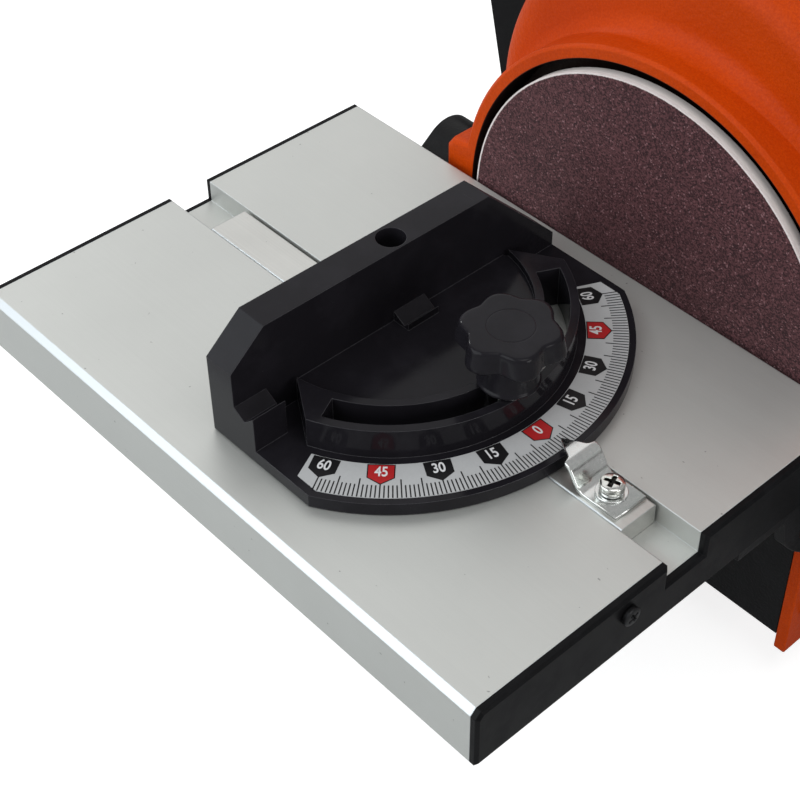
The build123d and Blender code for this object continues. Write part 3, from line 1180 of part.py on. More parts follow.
# Table lock knob on the left: a lobed grip and collar on a threaded stud
lock_grip = lobed(LOCK_KNOB_R, LOCK_KNOB_R * VALLEY_SHARE, KNOB_LOBES, 0, LOCK_KNOB_T, KNOB_ROUND)
lock_knob = Pos(0, 0, LOCK_COLLAR_T) * lock_grip
lock_knob += Pos(0, 0, LOCK_COLLAR_T / 2) * Cylinder(LOCK_COLLAR_R, LOCK_COLLAR_T)
lock_knob += Pos(0, 0, -stud_long / 2) * Cylinder(STUD_R, stud_long)
left_lock = Pos(arm_left_face - FACE_GAP, behind(PIVOT_BACK), LOCK_Z) * FACE_LEFT * lock_knob
export_step(left_lock, "parts/left_lock_knob.step")

# Mitre gauge bar, pivot screw and stud
at_pivot = Pos(MITRE_X, MITRE_Y, TABLE_TOP)
bar_near = behind(-SLOT_FRONT - SLOT_W) + BAR_SIDE_GAP
bar_far = behind(-SLOT_FRONT) - BAR_WIDE_GAP
bar_low = slot_floor + BAR_FLOOR_GAP
stud_x = MITRE_X + ARC_SLOT_R
bar = box(MITRE_X - BAR_LEFT, MITRE_X + BAR_RIGHT, bar_near, bar_far, bar_low, BAR_TOP)
bar = chamfer(bar.edges().filter_by(Axis.X).group_by(Axis.Z)[-1], BAR_CHAMFER)
bar_hole_low = bar_low + BAR_HOLE_FLOOR
for x, r in ((MITRE_X, MITRE_PIVOT_R), (stud_x, STUD_R), (POINTER_SCREW_X, POINTER_SCREW_R)):
    bar -= rod_z(r + SCREW_FIT, x, MITRE_Y, bar_hole_low, BAR_TOP)
export_step(bar, "parts/mitre_bar.step")
pivot_head_low = TABLE_TOP + PIVOT_SEAT + FACE_GAP
pivot_long = pivot_head_low - bar_hole_low
mitre_pivot = screw((MITRE_PIVOT_R, ACCESS_R - FACE_GAP, MITRE_PIVOT_HEAD_T), pivot_long)
export_step(Pos(MITRE_X, MITRE_Y, pivot_head_low) * mitre_pivot, "parts/mitre_pivot_screw.step")
washer_low = TABLE_TOP + RIM_TOP + FACE_GAP
knob_low = washer_low + WASHER_T
stud_top = TABLE_TOP + (KNOB_LOW + KNOB_TOP) / 2
export_step(rod_z(STUD_R, stud_x, MITRE_Y, bar_hole_low, stud_top), "parts/mitre_stud.step")
washer = rod_z(WASHER_R, stud_x, MITRE_Y, washer_low, knob_low)
washer -= rod_z(STUD_R + SCREW_FIT, stud_x, MITRE_Y, washer_low, knob_low)

# Mitre knob
grip = lobed(KNOB_R, KNOB_VALLEY_R, KNOB_LOBES, KNOB_TURN, KNOB_TOP - KNOB_LOW, KNOB_ROUND)
knob = Pos(stud_x, MITRE_Y, TABLE_TOP + KNOB_LOW) * grip
knob += rod_z(KNOB_HUB_R, stud_x, MITRE_Y, knob_low + FACE_GAP, TABLE_TOP + KNOB_LOW)
knob -= rod_z(KNOB_DISH_R, stud_x, MITRE_Y, TABLE_TOP + KNOB_TOP - KNOB_DISH, TABLE_TOP + KNOB_TOP)
knob -= rod_z(STUD_R + RUN_FIT, stud_x, MITRE_Y, knob_low, stud_top + FACE_GAP)
export_step(knob, "parts/mitre_knob.step")

# Mitre head: base plate, plateau, raised rim with the arc slot, fence with its blocks
plate_box = polygon((-FENCE_BACK, -HEAD_HALF), (HEAD_R, -HEAD_HALF), (HEAD_R, HEAD_HALF),
                    (-FENCE_BACK, HEAD_HALF))
plate_face = Circle(HEAD_R) & plate_box
edge_end = HEAD_R
edge_end_y = PLATEAU_EDGE_Y + PLATEAU_EDGE_SLOPE * (edge_end - PLATEAU_EDGE_X)
plateau_box = polygon((0, -PLATEAU_EDGE_Y), (PLATEAU_EDGE_X, -PLATEAU_EDGE_Y), (edge_end, -edge_end_y),
                      (edge_end, edge_end_y), (PLATEAU_EDGE_X, PLATEAU_EDGE_Y), (0, PLATEAU_EDGE_Y))
plateau_face = Circle(PLATEAU_R) & plateau_box
fence_face = polygon((-HEAD_HALF, HEAD_GAP), (HEAD_HALF, HEAD_GAP), (HEAD_HALF, FENCE_STEP),
                     (FENCE_STEP_Y, FENCE_TOP), (-FENCE_END_Y, FENCE_TOP), (-HEAD_HALF, FENCE_END_Z))


def block_face(lip_x):
    rise = (BLOCK_LIP - BLOCK_V) / (BLOCK_LIP_X - BLOCK_V_X)
    lip_z = BLOCK_V + rise * (lip_x - BLOCK_V_X)
    low = HEAD_PLATE_TOP - BLOCK_ROOT
    return polygon((0, low), (0, BLOCK_TOP), (FENCE_FACE, BLOCK_TOP), (BLOCK_V_X, BLOCK_V),
                   (lip_x, lip_z), (lip_x, low))


def wedge(half_angle):
    far = 2 * HEAD_R
    x = far * math.cos(math.radians(half_angle))
    y = far * math.sin(math.radians(half_angle))
    return polygon((0, 0), (x, -y), (far, -y), (far, y), (x, y))


arc_slot = Circle(ARC_SLOT_R + ARC_SLOT_W / 2) - Circle(ARC_SLOT_R - ARC_SLOT_W / 2)
arc_slot &= wedge(ARC_SLOT_HALF)
head = along_z(plate_face, HEAD_GAP, HEAD_PLATE_TOP) + along_z(plateau_face, HEAD_GAP, PLATEAU_TOP)
head += along_z(plateau_face - Circle(RIM_IN), HEAD_GAP, RIM_TOP)
head -= along_z(arc_slot, HEAD_GAP, RIM_TOP)
head += along_x(fence_face, -FENCE_BACK, FENCE_FACE)
head += along_y(block_face(BLOCK_LIP_X), -HEAD_HALF, -BLOCK_LEFT_IN)
head += along_y(block_face(BLOCK_LIP_IN), -BLOCK_MID_LEFT, BLOCK_MID_RIGHT)
head -= rod_z(ACCESS_R, 0, 0, PIVOT_SEAT, FENCE_TOP)
head -= rod_z(MITRE_PIVOT_R + RUN_FIT, 0, 0, HEAD_GAP, PIVOT_SEAT)
export_step(at_pivot * head, "parts/mitre_head.step")
scale_face = Circle(SCALE_OUT) - Circle(SCALE_IN)
scale_face &= wedge(SCALE_HALF_ANGLE)
scale_face &= Rectangle(2 * HEAD_R, 2 * SCALE_HALF)
scale = at_pivot * along_z(scale_face, HEAD_PLATE_TOP, HEAD_PLATE_TOP + SCALE_T)
export_step(scale, "parts/mitre_scale.step")

# Pointer bent up from the bar, its screw and washers
pz = BAR_TOP - TABLE_TOP
px1 = POINTER_X + POINTER_LONG
t = POINTER_T
bend = POINTER_X + POINTER_BEND
crest = POINTER_RIDGE + POINTER_CREST
side_face = polygon((px1, pz), (px1, pz + t), (bend + t, pz + t), (crest + t, POINTER_TOP),
                    (POINTER_RIDGE, POINTER_TOP), (POINTER_TIP, POINTER_TIP_Z + t / 2),
                    (POINTER_TIP, POINTER_TIP_Z),
                    (POINTER_RIDGE, POINTER_TOP - t), (crest, POINTER_TOP - t), (bend, pz))
half = POINTER_W / 2
top_face = polygon((px1, -half), (px1, half), (POINTER_RIDGE, half), (POINTER_TIP, t / 4),
                   (POINTER_TIP, -t / 4), (POINTER_RIDGE, -half))
pointer = Pos(0, MITRE_Y, TABLE_TOP) * (along_y(side_face, -half, half) & along_z(top_face, pz, POINTER_TOP))
flat_low = BAR_TOP + POINTER_T
pointer -= rod_z(POINTER_SCREW_R + SCREW_FIT, POINTER_SCREW_X, MITRE_Y, BAR_TOP, flat_low)
export_step(pointer, "parts/mitre_pointer.step")
washers = [washer]
low = flat_low
for r, thick in (FLAT_WASHER, SPRING_WASHER):
    ring_solid = rod_z(r, POINTER_SCREW_X, MITRE_Y, low, low + thick)
    ring_hole = rod_z(POINTER_SCREW_R + SCREW_FIT, POINTER_SCREW_X, MITRE_Y, low, low + thick)
    washers.append(ring_solid - ring_hole)
    low += thick
export_step(group(washers), "parts/mitre_washers.step")
pointer_screw = screw((POINTER_SCREW_R, M4[1], M4[2]), low - bar_hole_low, cross=True)
export_step(Pos(POINTER_SCREW_X, MITRE_Y, low) * pointer_screw, "parts/pointer_screw.step")

# Switch, drawn with its face on y = 0, then set in the right end wall of the plinth
in_end_wall = Pos(BASE_HALF, 0, SWITCH_Z) * Rot(0, 0, 90)
bezel_w = SWITCH_W / 2 + BEZEL_RIM
bezel_h = SWITCH_H / 2 + BEZEL_RIM
switch = box(-bezel_w, bezel_w, -BEZEL_T, 0, -bezel_h, bezel_h)
switch = fillet(switch.edges().filter_by(Axis.Y), BEZEL_RIM / 2)
sw = SWITCH_W / 2 - SEAT_FIT
sh = SWITCH_H / 2 - SEAT_FIT
switch += box(-sw, sw, 0, SWITCH_DEEP, -sh, sh)
well_w = ROCKER_W / 2 + ROCKER_GAP
well_h = ROCKER_H / 2 + 3 * ROCKER_GAP
well_back = ROCKER_AXIS_DEEP + ROCKER_H / 2
switch -= box(-well_w, well_w, -BEZEL_T, well_back, -well_h, well_h)
pin_end = ROCKER_W / 2 + ROCKER_GAP + ROCKER_PIN_OUT
pin_hole = pin_end + FACE_GAP
switch -= rod_x(ROCKER_PIN_R + RUN_FIT, -pin_hole, pin_hole, ROCKER_AXIS_DEEP, 0)
export_step(in_end_wall * switch, "parts/switch_body.step")
rh = ROCKER_H / 2
rocker_face = polygon((-ROCKER_PROUD, rh), (-ROCKER_WAIST, 0), (-ROCKER_PROUD, -rh), (ROCKER_HEEL, -rh / 2),
                      (ROCKER_HEEL, rh / 2))
rocker = along_x(rocker_face, -ROCKER_W / 2, ROCKER_W / 2) + rod_x(ROCKER_PIN_R, -pin_end, pin_end, 0, 0)
rocker = Rot(-ROCKER_THROW / 2, 0, 0) * rocker
export_step(in_end_wall * Pos(0, ROCKER_AXIS_DEEP, 0) * rocker, "parts/switch_rocker.step")

# Cable gland in the back wall of the plinth, open for the cord
gland = along_y(Pos(GLAND_X, GLAND_Z) * RegularPolygon(GLAND_NUT_R, 6), BACK_Y, BACK_Y + GLAND_NUT_T)
gland += rod_y(GLAND_R, GLAND_X, inner_back - PLINTH_WALL, BACK_Y, GLAND_Z)
gland -= rod_y(GLAND_BORE_R, GLAND_X, inner_back - PLINTH_WALL, BACK_Y + GLAND_NUT_T, GLAND_Z)
export_step(gland, "parts/cable_gland.step")
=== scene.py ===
# %% [markdown]
# # A belt and disc sander, dressed for the camera
#
# The construction of this bench machine is already solid geometry: every casting, screw and belt is a CAD node.
# This lesson keeps those nodes where they are, gives each one a finish with real detail, and adds the few small
# forms that are easier to write as surfaces: a lobed knob, a bent sheet pointer, screw heads, washers, a spring and
# a printed degree scale. Blender works in metres in the frame of the CAD model. Sizes of the new forms are written
# in millimetres and multiplied by `MM`.

# %% Load the fixed frame
import math

import bpy
import numpy as np
from mathutils import Matrix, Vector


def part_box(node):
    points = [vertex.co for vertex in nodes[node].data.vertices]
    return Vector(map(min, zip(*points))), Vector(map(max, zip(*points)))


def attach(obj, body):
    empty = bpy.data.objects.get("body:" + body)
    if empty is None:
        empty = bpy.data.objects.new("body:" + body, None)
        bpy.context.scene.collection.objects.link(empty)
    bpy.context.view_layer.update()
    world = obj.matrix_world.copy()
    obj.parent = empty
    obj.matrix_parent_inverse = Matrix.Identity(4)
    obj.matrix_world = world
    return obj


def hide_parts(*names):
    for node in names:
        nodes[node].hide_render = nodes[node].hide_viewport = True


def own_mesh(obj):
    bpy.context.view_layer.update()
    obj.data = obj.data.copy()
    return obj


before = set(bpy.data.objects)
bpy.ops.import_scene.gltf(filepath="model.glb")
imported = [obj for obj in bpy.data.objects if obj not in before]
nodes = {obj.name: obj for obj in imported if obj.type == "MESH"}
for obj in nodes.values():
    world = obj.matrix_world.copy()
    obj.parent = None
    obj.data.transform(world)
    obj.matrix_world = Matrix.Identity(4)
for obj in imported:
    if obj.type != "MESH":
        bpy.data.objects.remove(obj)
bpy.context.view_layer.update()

# %% [markdown]
# Some places of the CAD model serve several cells below, so they are named once. Two small helpers put things into
# the scene: one links a new object, the other turns three axes and a place into the matrix that an object wants.

# %% Shared places and helpers
MM = 0.001
DISC_Z = 125.0
TABLE_TOP = 130.0
MITRE_Y = -197.0
STUD = (18.2, MITRE_Y)
POINTER_SCREW = (60.0, MITRE_Y)


def link_new(name, data):
    """A new object with this data, linked to the scene."""
    made = bpy.data.objects.new(name, data)
    bpy.context.scene.collection.objects.link(made)
    return made


def pose_matrix(right, up, back, place):
    """The matrix of an object with these three axes at this place."""
    pose = np.eye(4)
    pose[:3] = np.column_stack((right, up, back, place))
    return Matrix(pose.tolist())


print("table top at", TABLE_TOP, "mm, disc axis at", DISC_Z, "mm")

# %% [markdown]
# ## The camera
#
# The photograph was taken close to the work table, looking down past the mitre gauge at the disc. Its vanishing
# points give the viewing direction and the focal length, and the known disc size gives the distance. The picture's
# optical centre is a little right of its middle, which a lens shift reproduces.

# %% Camera
IMAGE_SIDE = 800.0
FOCAL_PIXELS = 1719.5
OPTICAL_CENTRE = (441.9, 397.7)
SENSOR = 36.0
VIEW_AZIMUTH, VIEW_ELEVATION, VIEW_ROLL = np.radians((46.388, 43.572, 0.464))
CAMERA_PLACE = (0.2689, -0.4626, 0.4860)


def view_axes(azimuth, elevation, roll):
    """Axes right, up and back of a camera that stands at this azimuth and elevation, then rolls."""
    back = np.array([
        math.sin(azimuth) * math.cos(elevation),
        -math.cos(azimuth) * math.cos(elevation),
        math.sin(elevation),
    ])
    level = np.array([math.cos(azimuth), math.sin(azimuth), 0.0])
    raised = np.cross(back, level)
    right = math.cos(roll) * level + math.sin(roll) * raised
    up = -math.sin(roll) * level + math.cos(roll) * raised
    return right, up, back


lens = bpy.data.cameras.new("photo_lens")
lens.sensor_width = SENSOR
lens.lens = FOCAL_PIXELS * SENSOR / IMAGE_SIDE
lens.shift_x = 0.5 - OPTICAL_CENTRE[0] / IMAGE_SIDE
lens.shift_y = OPTICAL_CENTRE[1] / IMAGE_SIDE - 0.5
camera = link_new("photo_camera", lens)
camera.matrix_world = pose_matrix(*view_axes(VIEW_AZIMUTH, VIEW_ELEVATION, VIEW_ROLL), CAMERA_PLACE)
bpy.context.scene.camera = camera
print("lens", round(lens.lens, 1), "mm, shift", round(lens.shift_x, 3), round(lens.shift_y, 3))

# %% [markdown]
# ## A small language for materials
#
# A node tree is hard to read as a list of links. Wrapping a socket in a class lets us write shader maths as
# ordinary Python: `grain * 0.2 + 0.4` adds two Math nodes. Every other node comes from one method, `node`, which
# sets the node's settings first and then fills its sockets with numbers, colours or links.


# %% The shader expression class
class Flow:
    """A value running through a material. Arithmetic on it adds Math nodes."""

    def __init__(self, tree, socket):
        self.tree = tree
        self.socket = socket

    def node(self, kind, settings, sockets, out=0):
        """Adds a node: its settings first, then its sockets, each a plain value or another Flow."""
        made = self.tree.nodes.new("ShaderNode" + kind)
        for key, value in settings.items():
            setattr(made, key, value)
        for key, value in sockets.items():
            if isinstance(value, Flow):
                self.tree.links.new(value.socket, made.inputs[key])
            else:
                made.inputs[key].default_value = value
        return Flow(self.tree, made.outputs[out]) if made.outputs else None

    def math(self, operation, first, second=0.0):
        """One Math node; its inputs are numbers or Flows."""
        return self.node("Math", {"operation": operation}, {0: first, 1: second})

    def __add__(self, other):
        return self.math("ADD", self, other)

    __radd__ = __add__

    def __mul__(self, other):
        return self.math("MULTIPLY", self, other)

    __rmul__ = __mul__

    def __sub__(self, other):
        return self.math("SUBTRACT", self, other)

    def __rsub__(self, other):
        return self.math("SUBTRACT", other, self)

    def above(self, low, high):
        """0 below low, 1 over high, smooth between them."""
        settings = {"interpolation_type": "SMOOTHSTEP", "clamp": True}
        return self.node("MapRange", settings, {"Value": self, "From Min": low, "From Max": high})

    def tint(self, dark, light):
        """A colour that goes from dark to light as this value goes from 0 to 1."""
        first, second = (c if isinstance(c, Flow) else (*c, 1.0) for c in (dark, light))
        settings = {"data_type": "RGBA", "clamp_factor": True}
        return self.node("Mix", settings, {0: self, 6: first, 7: second}, 2)

    def laid(self, scale, turn=(0.0, 0.0, 0.0), shift=(0.0, 0.0, 0.0)):
        """These coordinates scaled, turned and shifted, so that a pattern can be stretched along one way."""
        return self.node("Mapping", {}, {"Vector": self, "Location": shift, "Rotation": turn, "Scale": scale})

    def noise(self, scale, detail=2.0, rough=0.5):
        """Smooth noise with about this many bumps to the metre."""
        sockets = {"Vector": self, "Scale": scale, "Detail": detail, "Roughness": rough}
        return self.node("TexNoise", {}, sockets)

    def cell_values(self, scale):
        """One random number for each small cell of a Voronoi pattern."""
        colour = self.node("TexVoronoi", {}, {"Vector": self, "Scale": scale}, 1)
        return self.node("SeparateColor", {}, {"Color": colour})

    def dot(self, other):
        """The cosine between this direction and another one."""
        return self.node("VectorMath", {"operation": "DOT_PRODUCT"}, {0: self, 1: other}, 1)

    def from_line(self, x, z):
        """Distance of these coordinates from the line along y through x and z."""
        flat = self.laid((1.0, 0.0, 1.0), shift=(-x, 0.0, -z))
        return self.node("VectorMath", {"operation": "LENGTH"}, {0: flat}, 1)


# %% [markdown]
# ## Soft edges without extra geometry
#
# No moulded or cast edge is perfectly sharp: a radius of a few tenths of a millimetre catches a thin line of
# light. We could bevel every mesh, but the shader's Bevel node gives the same line by asking the neighbouring
# faces for their normals. Where that rounded normal differs from the flat one we are on an edge, so the same
# node also gives the mask where the finishes paint their edges paler: a painted edge highlight.


# %% Beginning and completing a finish
def begin(name):
    """A new material and the object coordinates of the point being shaded."""
    material = bpy.data.materials.new(name)
    material.use_nodes = True
    material.node_tree.nodes.clear()
    coordinates = material.node_tree.nodes.new("ShaderNodeTexCoord")
    return material, Flow(material.node_tree, coordinates.outputs["Object"])


def edges(here, radius):
    """Rounded normals, and a mask that is 1 on the crest of an edge and 0 on open faces."""
    soft = here.node("Bevel", {"samples": 6}, {"Radius": radius})
    flat = here.node("NewGeometry", {}, {}, 1)
    return soft, (1.0 - soft.dot(flat)).above(0.02, 0.2)


def complete(here, sockets, height, lift, normal):
    """Closes the material: a Principled shader whose normal is bumped by height, lift metres at most."""
    bump = here.node("Bump", {}, {"Height": height, "Distance": lift, "Normal": normal})
    shader = here.node("BsdfPrincipled", {}, {**sockets, "Normal": bump})
    here.node("OutputMaterial", {}, {"Surface": shader})


# %% [markdown]
# ## Orange paint on the disc housing
#
# The housing is a casting sprayed with thick enamel. Such paint never dries flat: it keeps shallow dimples about
# a millimetre and a half apart, the orange peel, and its colour drifts a little from patch to patch. A fine noise
# makes the dimples and also varies the gloss; a slow and a very fine noise move the colour. Inside the ring the
# colour is painted near black, a painted shade for the shadow that fills the gap behind the ring's mouth: a mask of
# the distance from the disc's axis keeps the orange off it.

# %% Orange enamel
RING_BORE = 78.8
orange_paint, here = begin("orange_paint")
soft, crest = edges(here, 0.9 * MM)
# mask of the painted shade: 0 inside the ring bore, 1 outside it
outside = here.from_line(0.0, DISC_Z * MM).above((RING_BORE + 0.05) * MM, (RING_BORE + 0.25) * MM)
peel = here.noise(620.0, 2.0, 0.45)
drift = here.noise(16.0, 3.0, 0.6)
mottle = drift * 0.5 + here.noise(1500.0, 3.0, 0.6) * 0.5
enamel = mottle.above(0.3, 0.7).tint((0.42, 0.036, 0.0008), (0.57, 0.059, 0.0012))
# painted edge highlight: the crests of edges get a paler orange
enamel = (crest * 0.3).tint(enamel, (0.74, 0.13, 0.02))
# painted shade: the inside of the ring bore goes near black, standing in for the shadow behind the ring's mouth
enamel = outside.tint((0.016, 0.0075, 0.006), enamel)
sockets = {"Base Color": enamel, "Roughness": peel * 0.14 + 0.38, "Specular IOR Level": 0.09}
complete(here, sockets, peel, 0.22 * MM, soft)
print(orange_paint.name, len(orange_paint.node_tree.nodes), "nodes")

# %% [markdown]
# ## Black finishes
#
# Four blacks tell the parts apart. Sheet metal and castings wear a powder coat with a pebbled skin. Caps, hood and
# covers are moulded with a fine spark texture. The mitre head is smooth moulded plastic with a low sheen, faint
# handling marks and slightly glossier edges. Rubber is dull and a little brown. All four paint their edges paler,
# a painted edge highlight, brightest on the mitre head.


# %% Black paint, plastics and rubber
def black_finish(name, colours, grain_scale, grain_lift, gloss, edge_radius, edge_highlight_colour, specular):
    """A dark finish: grain for its skin, cloudy handling marks for its gloss, paler edges as a painted highlight."""
    material, here = begin(name)
    soft, crest = edges(here, edge_radius)
    grain = here.noise(grain_scale, 3.0, 0.55)
    marks = here.noise(70.0, 4.0, 0.65).above(0.42, 0.68)
    hair = here.laid((40.0, 1500.0, 900.0), (0.3, 0.2, 0.7)).noise(1.0, 2.0).above(0.69, 0.74)
    colour = (marks * 0.6 + grain * 0.4).tint(*colours)
    # painted edge highlight: the crests of edges take the paler edge colour
    colour = (crest * 0.5).tint(colour, edge_highlight_colour)
    rough = gloss[0] + marks * (gloss[1] - gloss[0]) + hair * 0.08 - crest * 0.06
    sockets = {"Base Color": colour, "Roughness": rough, "Specular IOR Level": specular}
    complete(here, sockets, grain, grain_lift, soft)
    return material


SOOT = ((0.0045, 0.0045, 0.0050), (0.0085, 0.0085, 0.0095))
JET = ((0.0098, 0.0090, 0.0112), (0.0150, 0.0138, 0.0172))
DULL = ((0.010, 0.009, 0.0085), (0.018, 0.0165, 0.0155))
black_paint = black_finish(
    "black_paint", SOOT, 900.0, 0.10 * MM, (0.36, 0.46), 0.5 * MM, (0.022, 0.022, 0.023), 0.16)
black_plastic = black_finish(
    "black_plastic", SOOT, 2200.0, 0.05 * MM, (0.34, 0.46), 0.4 * MM, (0.020, 0.020, 0.022), 0.075)
black_gloss = black_finish(
    "black_gloss", JET, 2600.0, 0.010 * MM, (0.12, 0.21), 0.35 * MM, (0.130, 0.127, 0.138), 0.12)
rubber = black_finish(
    "rubber", DULL, 1300.0, 0.06 * MM, (0.70, 0.82), 0.8 * MM, (0.025, 0.023, 0.021), 0.2)
print("four blacks")

# %% [markdown]
# ## Aluminium of the table and the bar
#
# The table is an extrusion: it leaves its die with faint lines along its length and is then anodised to a soft
# silver. Use adds short scratches in odd directions and a few dark nicks. The sliding bar was milled, so its lines
# are coarser and its faces brighter. One recipe, stretched noise along x, serves both. The table's front edge is
# broken at 45 degrees and left bright: a mask picks out the faces that point that way.

# %% Extruded and milled aluminium
BROKEN_EDGE_WAY = (0.0, -0.7071, 0.7071)


def drawn_aluminium(name, colours, line_scale, line_lift, gloss, metal):
    """Metal with die lines along x, crossing scratches, dark nicks, a bright broken chamfer and a painted edge
    highlight.
    """
    material, here = begin(name)
    soft, crest = edges(here, 0.5 * MM)
    facing = here.node("TexCoord", {}, {}, "Normal")
    broken = facing.dot(BROKEN_EDGE_WAY).above(0.96, 0.98)
    lines = here.laid((6.0, line_scale, line_scale)).noise(1.0, 4.0, 0.6)
    cloud = here.noise(22.0, 4.0, 0.6)
    scratch = here.laid((26.0, 1400.0, 1400.0), (0.0, 0.0, 0.62)).noise(1.0, 1.0).above(0.72, 0.76)
    cross = here.laid((1300.0, 30.0, 1300.0), (0.0, 0.0, 0.35)).noise(1.0, 1.0).above(0.73, 0.77)
    nick = here.noise(520.0, 1.0).above(0.78, 0.83)
    colour = (lines * 0.4 + cloud * 0.6).tint(*colours)
    colour = (nick * 0.6).tint(colour, (0.16, 0.16, 0.16))
    # painted edge highlight on the crests of edges, together with the bare bright chamfer of the broken edge
    colour = here.math("MAXIMUM", crest * 0.9, broken).tint(colour, (0.62, 0.65, 0.67))
    rough = gloss + lines * 0.12 + cloud * 0.06 - (scratch + cross) * 0.07
    sockets = {"Base Color": colour, "Roughness": rough, "Metallic": metal}
    complete(here, sockets, lines + scratch * 0.4 - nick, line_lift, soft)
    return material


SILVER = ((0.54, 0.55, 0.53), (0.66, 0.67, 0.645))
BRIGHT = ((0.44, 0.44, 0.42), (0.76, 0.76, 0.73))
anodised = drawn_aluminium("anodised", SILVER, 1500.0, 0.007 * MM, 0.38, 0.7)
milled = drawn_aluminium("milled", BRIGHT, 900.0, 0.016 * MM, 0.28, 0.85)
print(anodised.name, milled.name)

# %% [markdown]
# ## Turned metal, plated metal and plain steel
#
# Drums, pulleys and the disc plate were turned on a lathe, which leaves fine rings around their axis. A ring is a
# sine of the distance from the axis, so the axis has to be moved to the pattern's origin first. Zinc plate is
# smooth with a faint crystal mottle. Most screws are blackened steel. The pointer's screw is plated, and its recess
# gets painted shade: the finish darkens a cross drawn in object coordinates.


# %% Lathe rings
def turned_metal(name, axis_place, colours, pitch, gloss, metal=0.9):
    """Metal with lathe rings about a line along y through axis_place: sine of the distance over the pitch."""
    material, here = begin(name)
    soft, crest = edges(here, 0.4 * MM)
    from_axis = here.from_line(axis_place[0], axis_place[2])
    rings = here.math("SINE", from_axis * (2 * math.pi / pitch)) * 0.5 + 0.5
    cloud = here.noise(60.0, 3.0, 0.6)
    colour = (rings * 0.35 + cloud * 0.65).tint(*colours)
    # painted edge highlight: the crests of edges turn pale
    colour = (crest * 0.5).tint(colour, (0.85, 0.85, 0.84))
    sockets = {"Base Color": colour, "Roughness": gloss + cloud * 0.12, "Metallic": metal}
    complete(here, sockets, rings, 0.006 * MM, soft)
    return material


def axis_of(node):
    """The middle of a node's box, which lies on its axis when the node is round."""
    return np.mean(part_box(node), axis=0).tolist()


GREY_METAL = ((0.40, 0.40, 0.40), (0.62, 0.62, 0.61))
# a pale taupe brightened as painted light: the plate's rim sits in the ring's shade, and this colour stands in for
# light there
BRIGHTENED_TAUPE = ((0.76, 0.68, 0.65), (0.90, 0.82, 0.79))
disc_metal = turned_metal("disc_metal", axis_of("disc_plate"), BRIGHTENED_TAUPE, 0.5 * MM, 0.45, 0.1)
drum_metal = turned_metal("drum_metal", axis_of("drive_drum"), GREY_METAL, 0.6 * MM, 0.32)
idler_metal = turned_metal("idler_metal", axis_of("idler_drum"), GREY_METAL, 0.6 * MM, 0.32)
motor_metal = turned_metal("motor_metal", axis_of("motor_can"), GREY_METAL, 0.8 * MM, 0.42)
print("four turned metals")


# %% Plated and plain steel
def cross_mask(here, centre, turn, arm_w, arm_l):
    """1 inside a driver's cross about a point: near one of its two lines and not past the end of that line."""
    along = centre[0] * math.cos(turn) + centre[1] * math.sin(turn)
    aside = centre[1] * math.cos(turn) - centre[0] * math.sin(turn)
    local = here.laid((1.0, 1.0, 0.0), (0.0, 0.0, -turn), (-along, -aside, 0.0))
    x = here.math("ABSOLUTE", here.node("SeparateXYZ", {}, {"Vector": local}, 0))
    y = here.math("ABSOLUTE", here.node("SeparateXYZ", {}, {"Vector": local}, 1))
    first = here.math("MINIMUM", arm_w - x, arm_l - y)
    second = here.math("MINIMUM", arm_w - y, arm_l - x)
    return here.math("MAXIMUM", first, second).above(-0.05 * MM, 0.05 * MM)


def plain_metal(name, colours, gloss, mottle_scale, metal=1.0, lift=0.02 * MM, recess=None):
    """Metal with a crystal mottle in its gloss and colour, a painted edge highlight, and painted shade in a driver's
    recess.
    """
    material, here = begin(name)
    soft, crest = edges(here, 0.25 * MM)
    mottle = here.cell_values(mottle_scale)
    cloud = here.noise(180.0, 3.0, 0.6)
    colour = (mottle * 0.35 + cloud * 0.65).tint(*colours)
    # painted edge highlight: the crests of edges take a paler version of the light colour
    colour = (crest * 0.5).tint(colour, tuple(min(1.0, 1.35 * c + 0.05) for c in colours[1]))
    if recess:
        # painted shade: the driver's cross in the screw head is darkened
        colour = cross_mask(here, *recess).tint(colour, (0.035, 0.034, 0.030))
    sockets = {"Base Color": colour, "Roughness": gloss + mottle * 0.08 + cloud * 0.1, "Metallic": metal}
    complete(here, sockets, cloud, lift, soft)
    return material


zinc = plain_metal("zinc", ((0.66, 0.68, 0.67), (0.78, 0.79, 0.77)), 0.13, 1100.0, lift=0.002 * MM)
# the cross's centre, its turn, and the half width and half length of its arms
SCREW_TURN = 0.35
SCREW_CROSS = ((POINTER_SCREW[0] * MM, POINTER_SCREW[1] * MM), SCREW_TURN, 0.62 * MM, 2.35 * MM)
screw_zinc = plain_metal(
    "screw_zinc", ((0.60, 0.61, 0.58), (0.84, 0.84, 0.80)), 0.09, 1100.0, lift=0.006 * MM, recess=SCREW_CROSS)
steel = plain_metal("steel", ((0.42, 0.42, 0.42), (0.62, 0.62, 0.61)), 0.24, 800.0)
dark_steel = plain_metal("dark_steel", ((0.010, 0.010, 0.011), (0.026, 0.026, 0.028)), 0.30, 900.0, 0.7)
copper_iron = plain_metal("copper_iron", ((0.16, 0.09, 0.06), (0.42, 0.22, 0.12)), 0.35, 500.0, 0.7)
print("two zincs, steel, dark steel, winding")

# %% [markdown]
# ## Abrasive
#
# Coated abrasive is paper or cloth covered with crushed grains in resin. From a step away it is a dark purplish
# brown with a sparkle of paler grains. Voronoi cells half a millimetre wide stand for single grains: each gets its
# own random height and tone, and only the topmost few turn pale. The disc was punched out of a sheet, so its rim
# shows the pale paper. The belt shows none, so its mask begins a metre out.


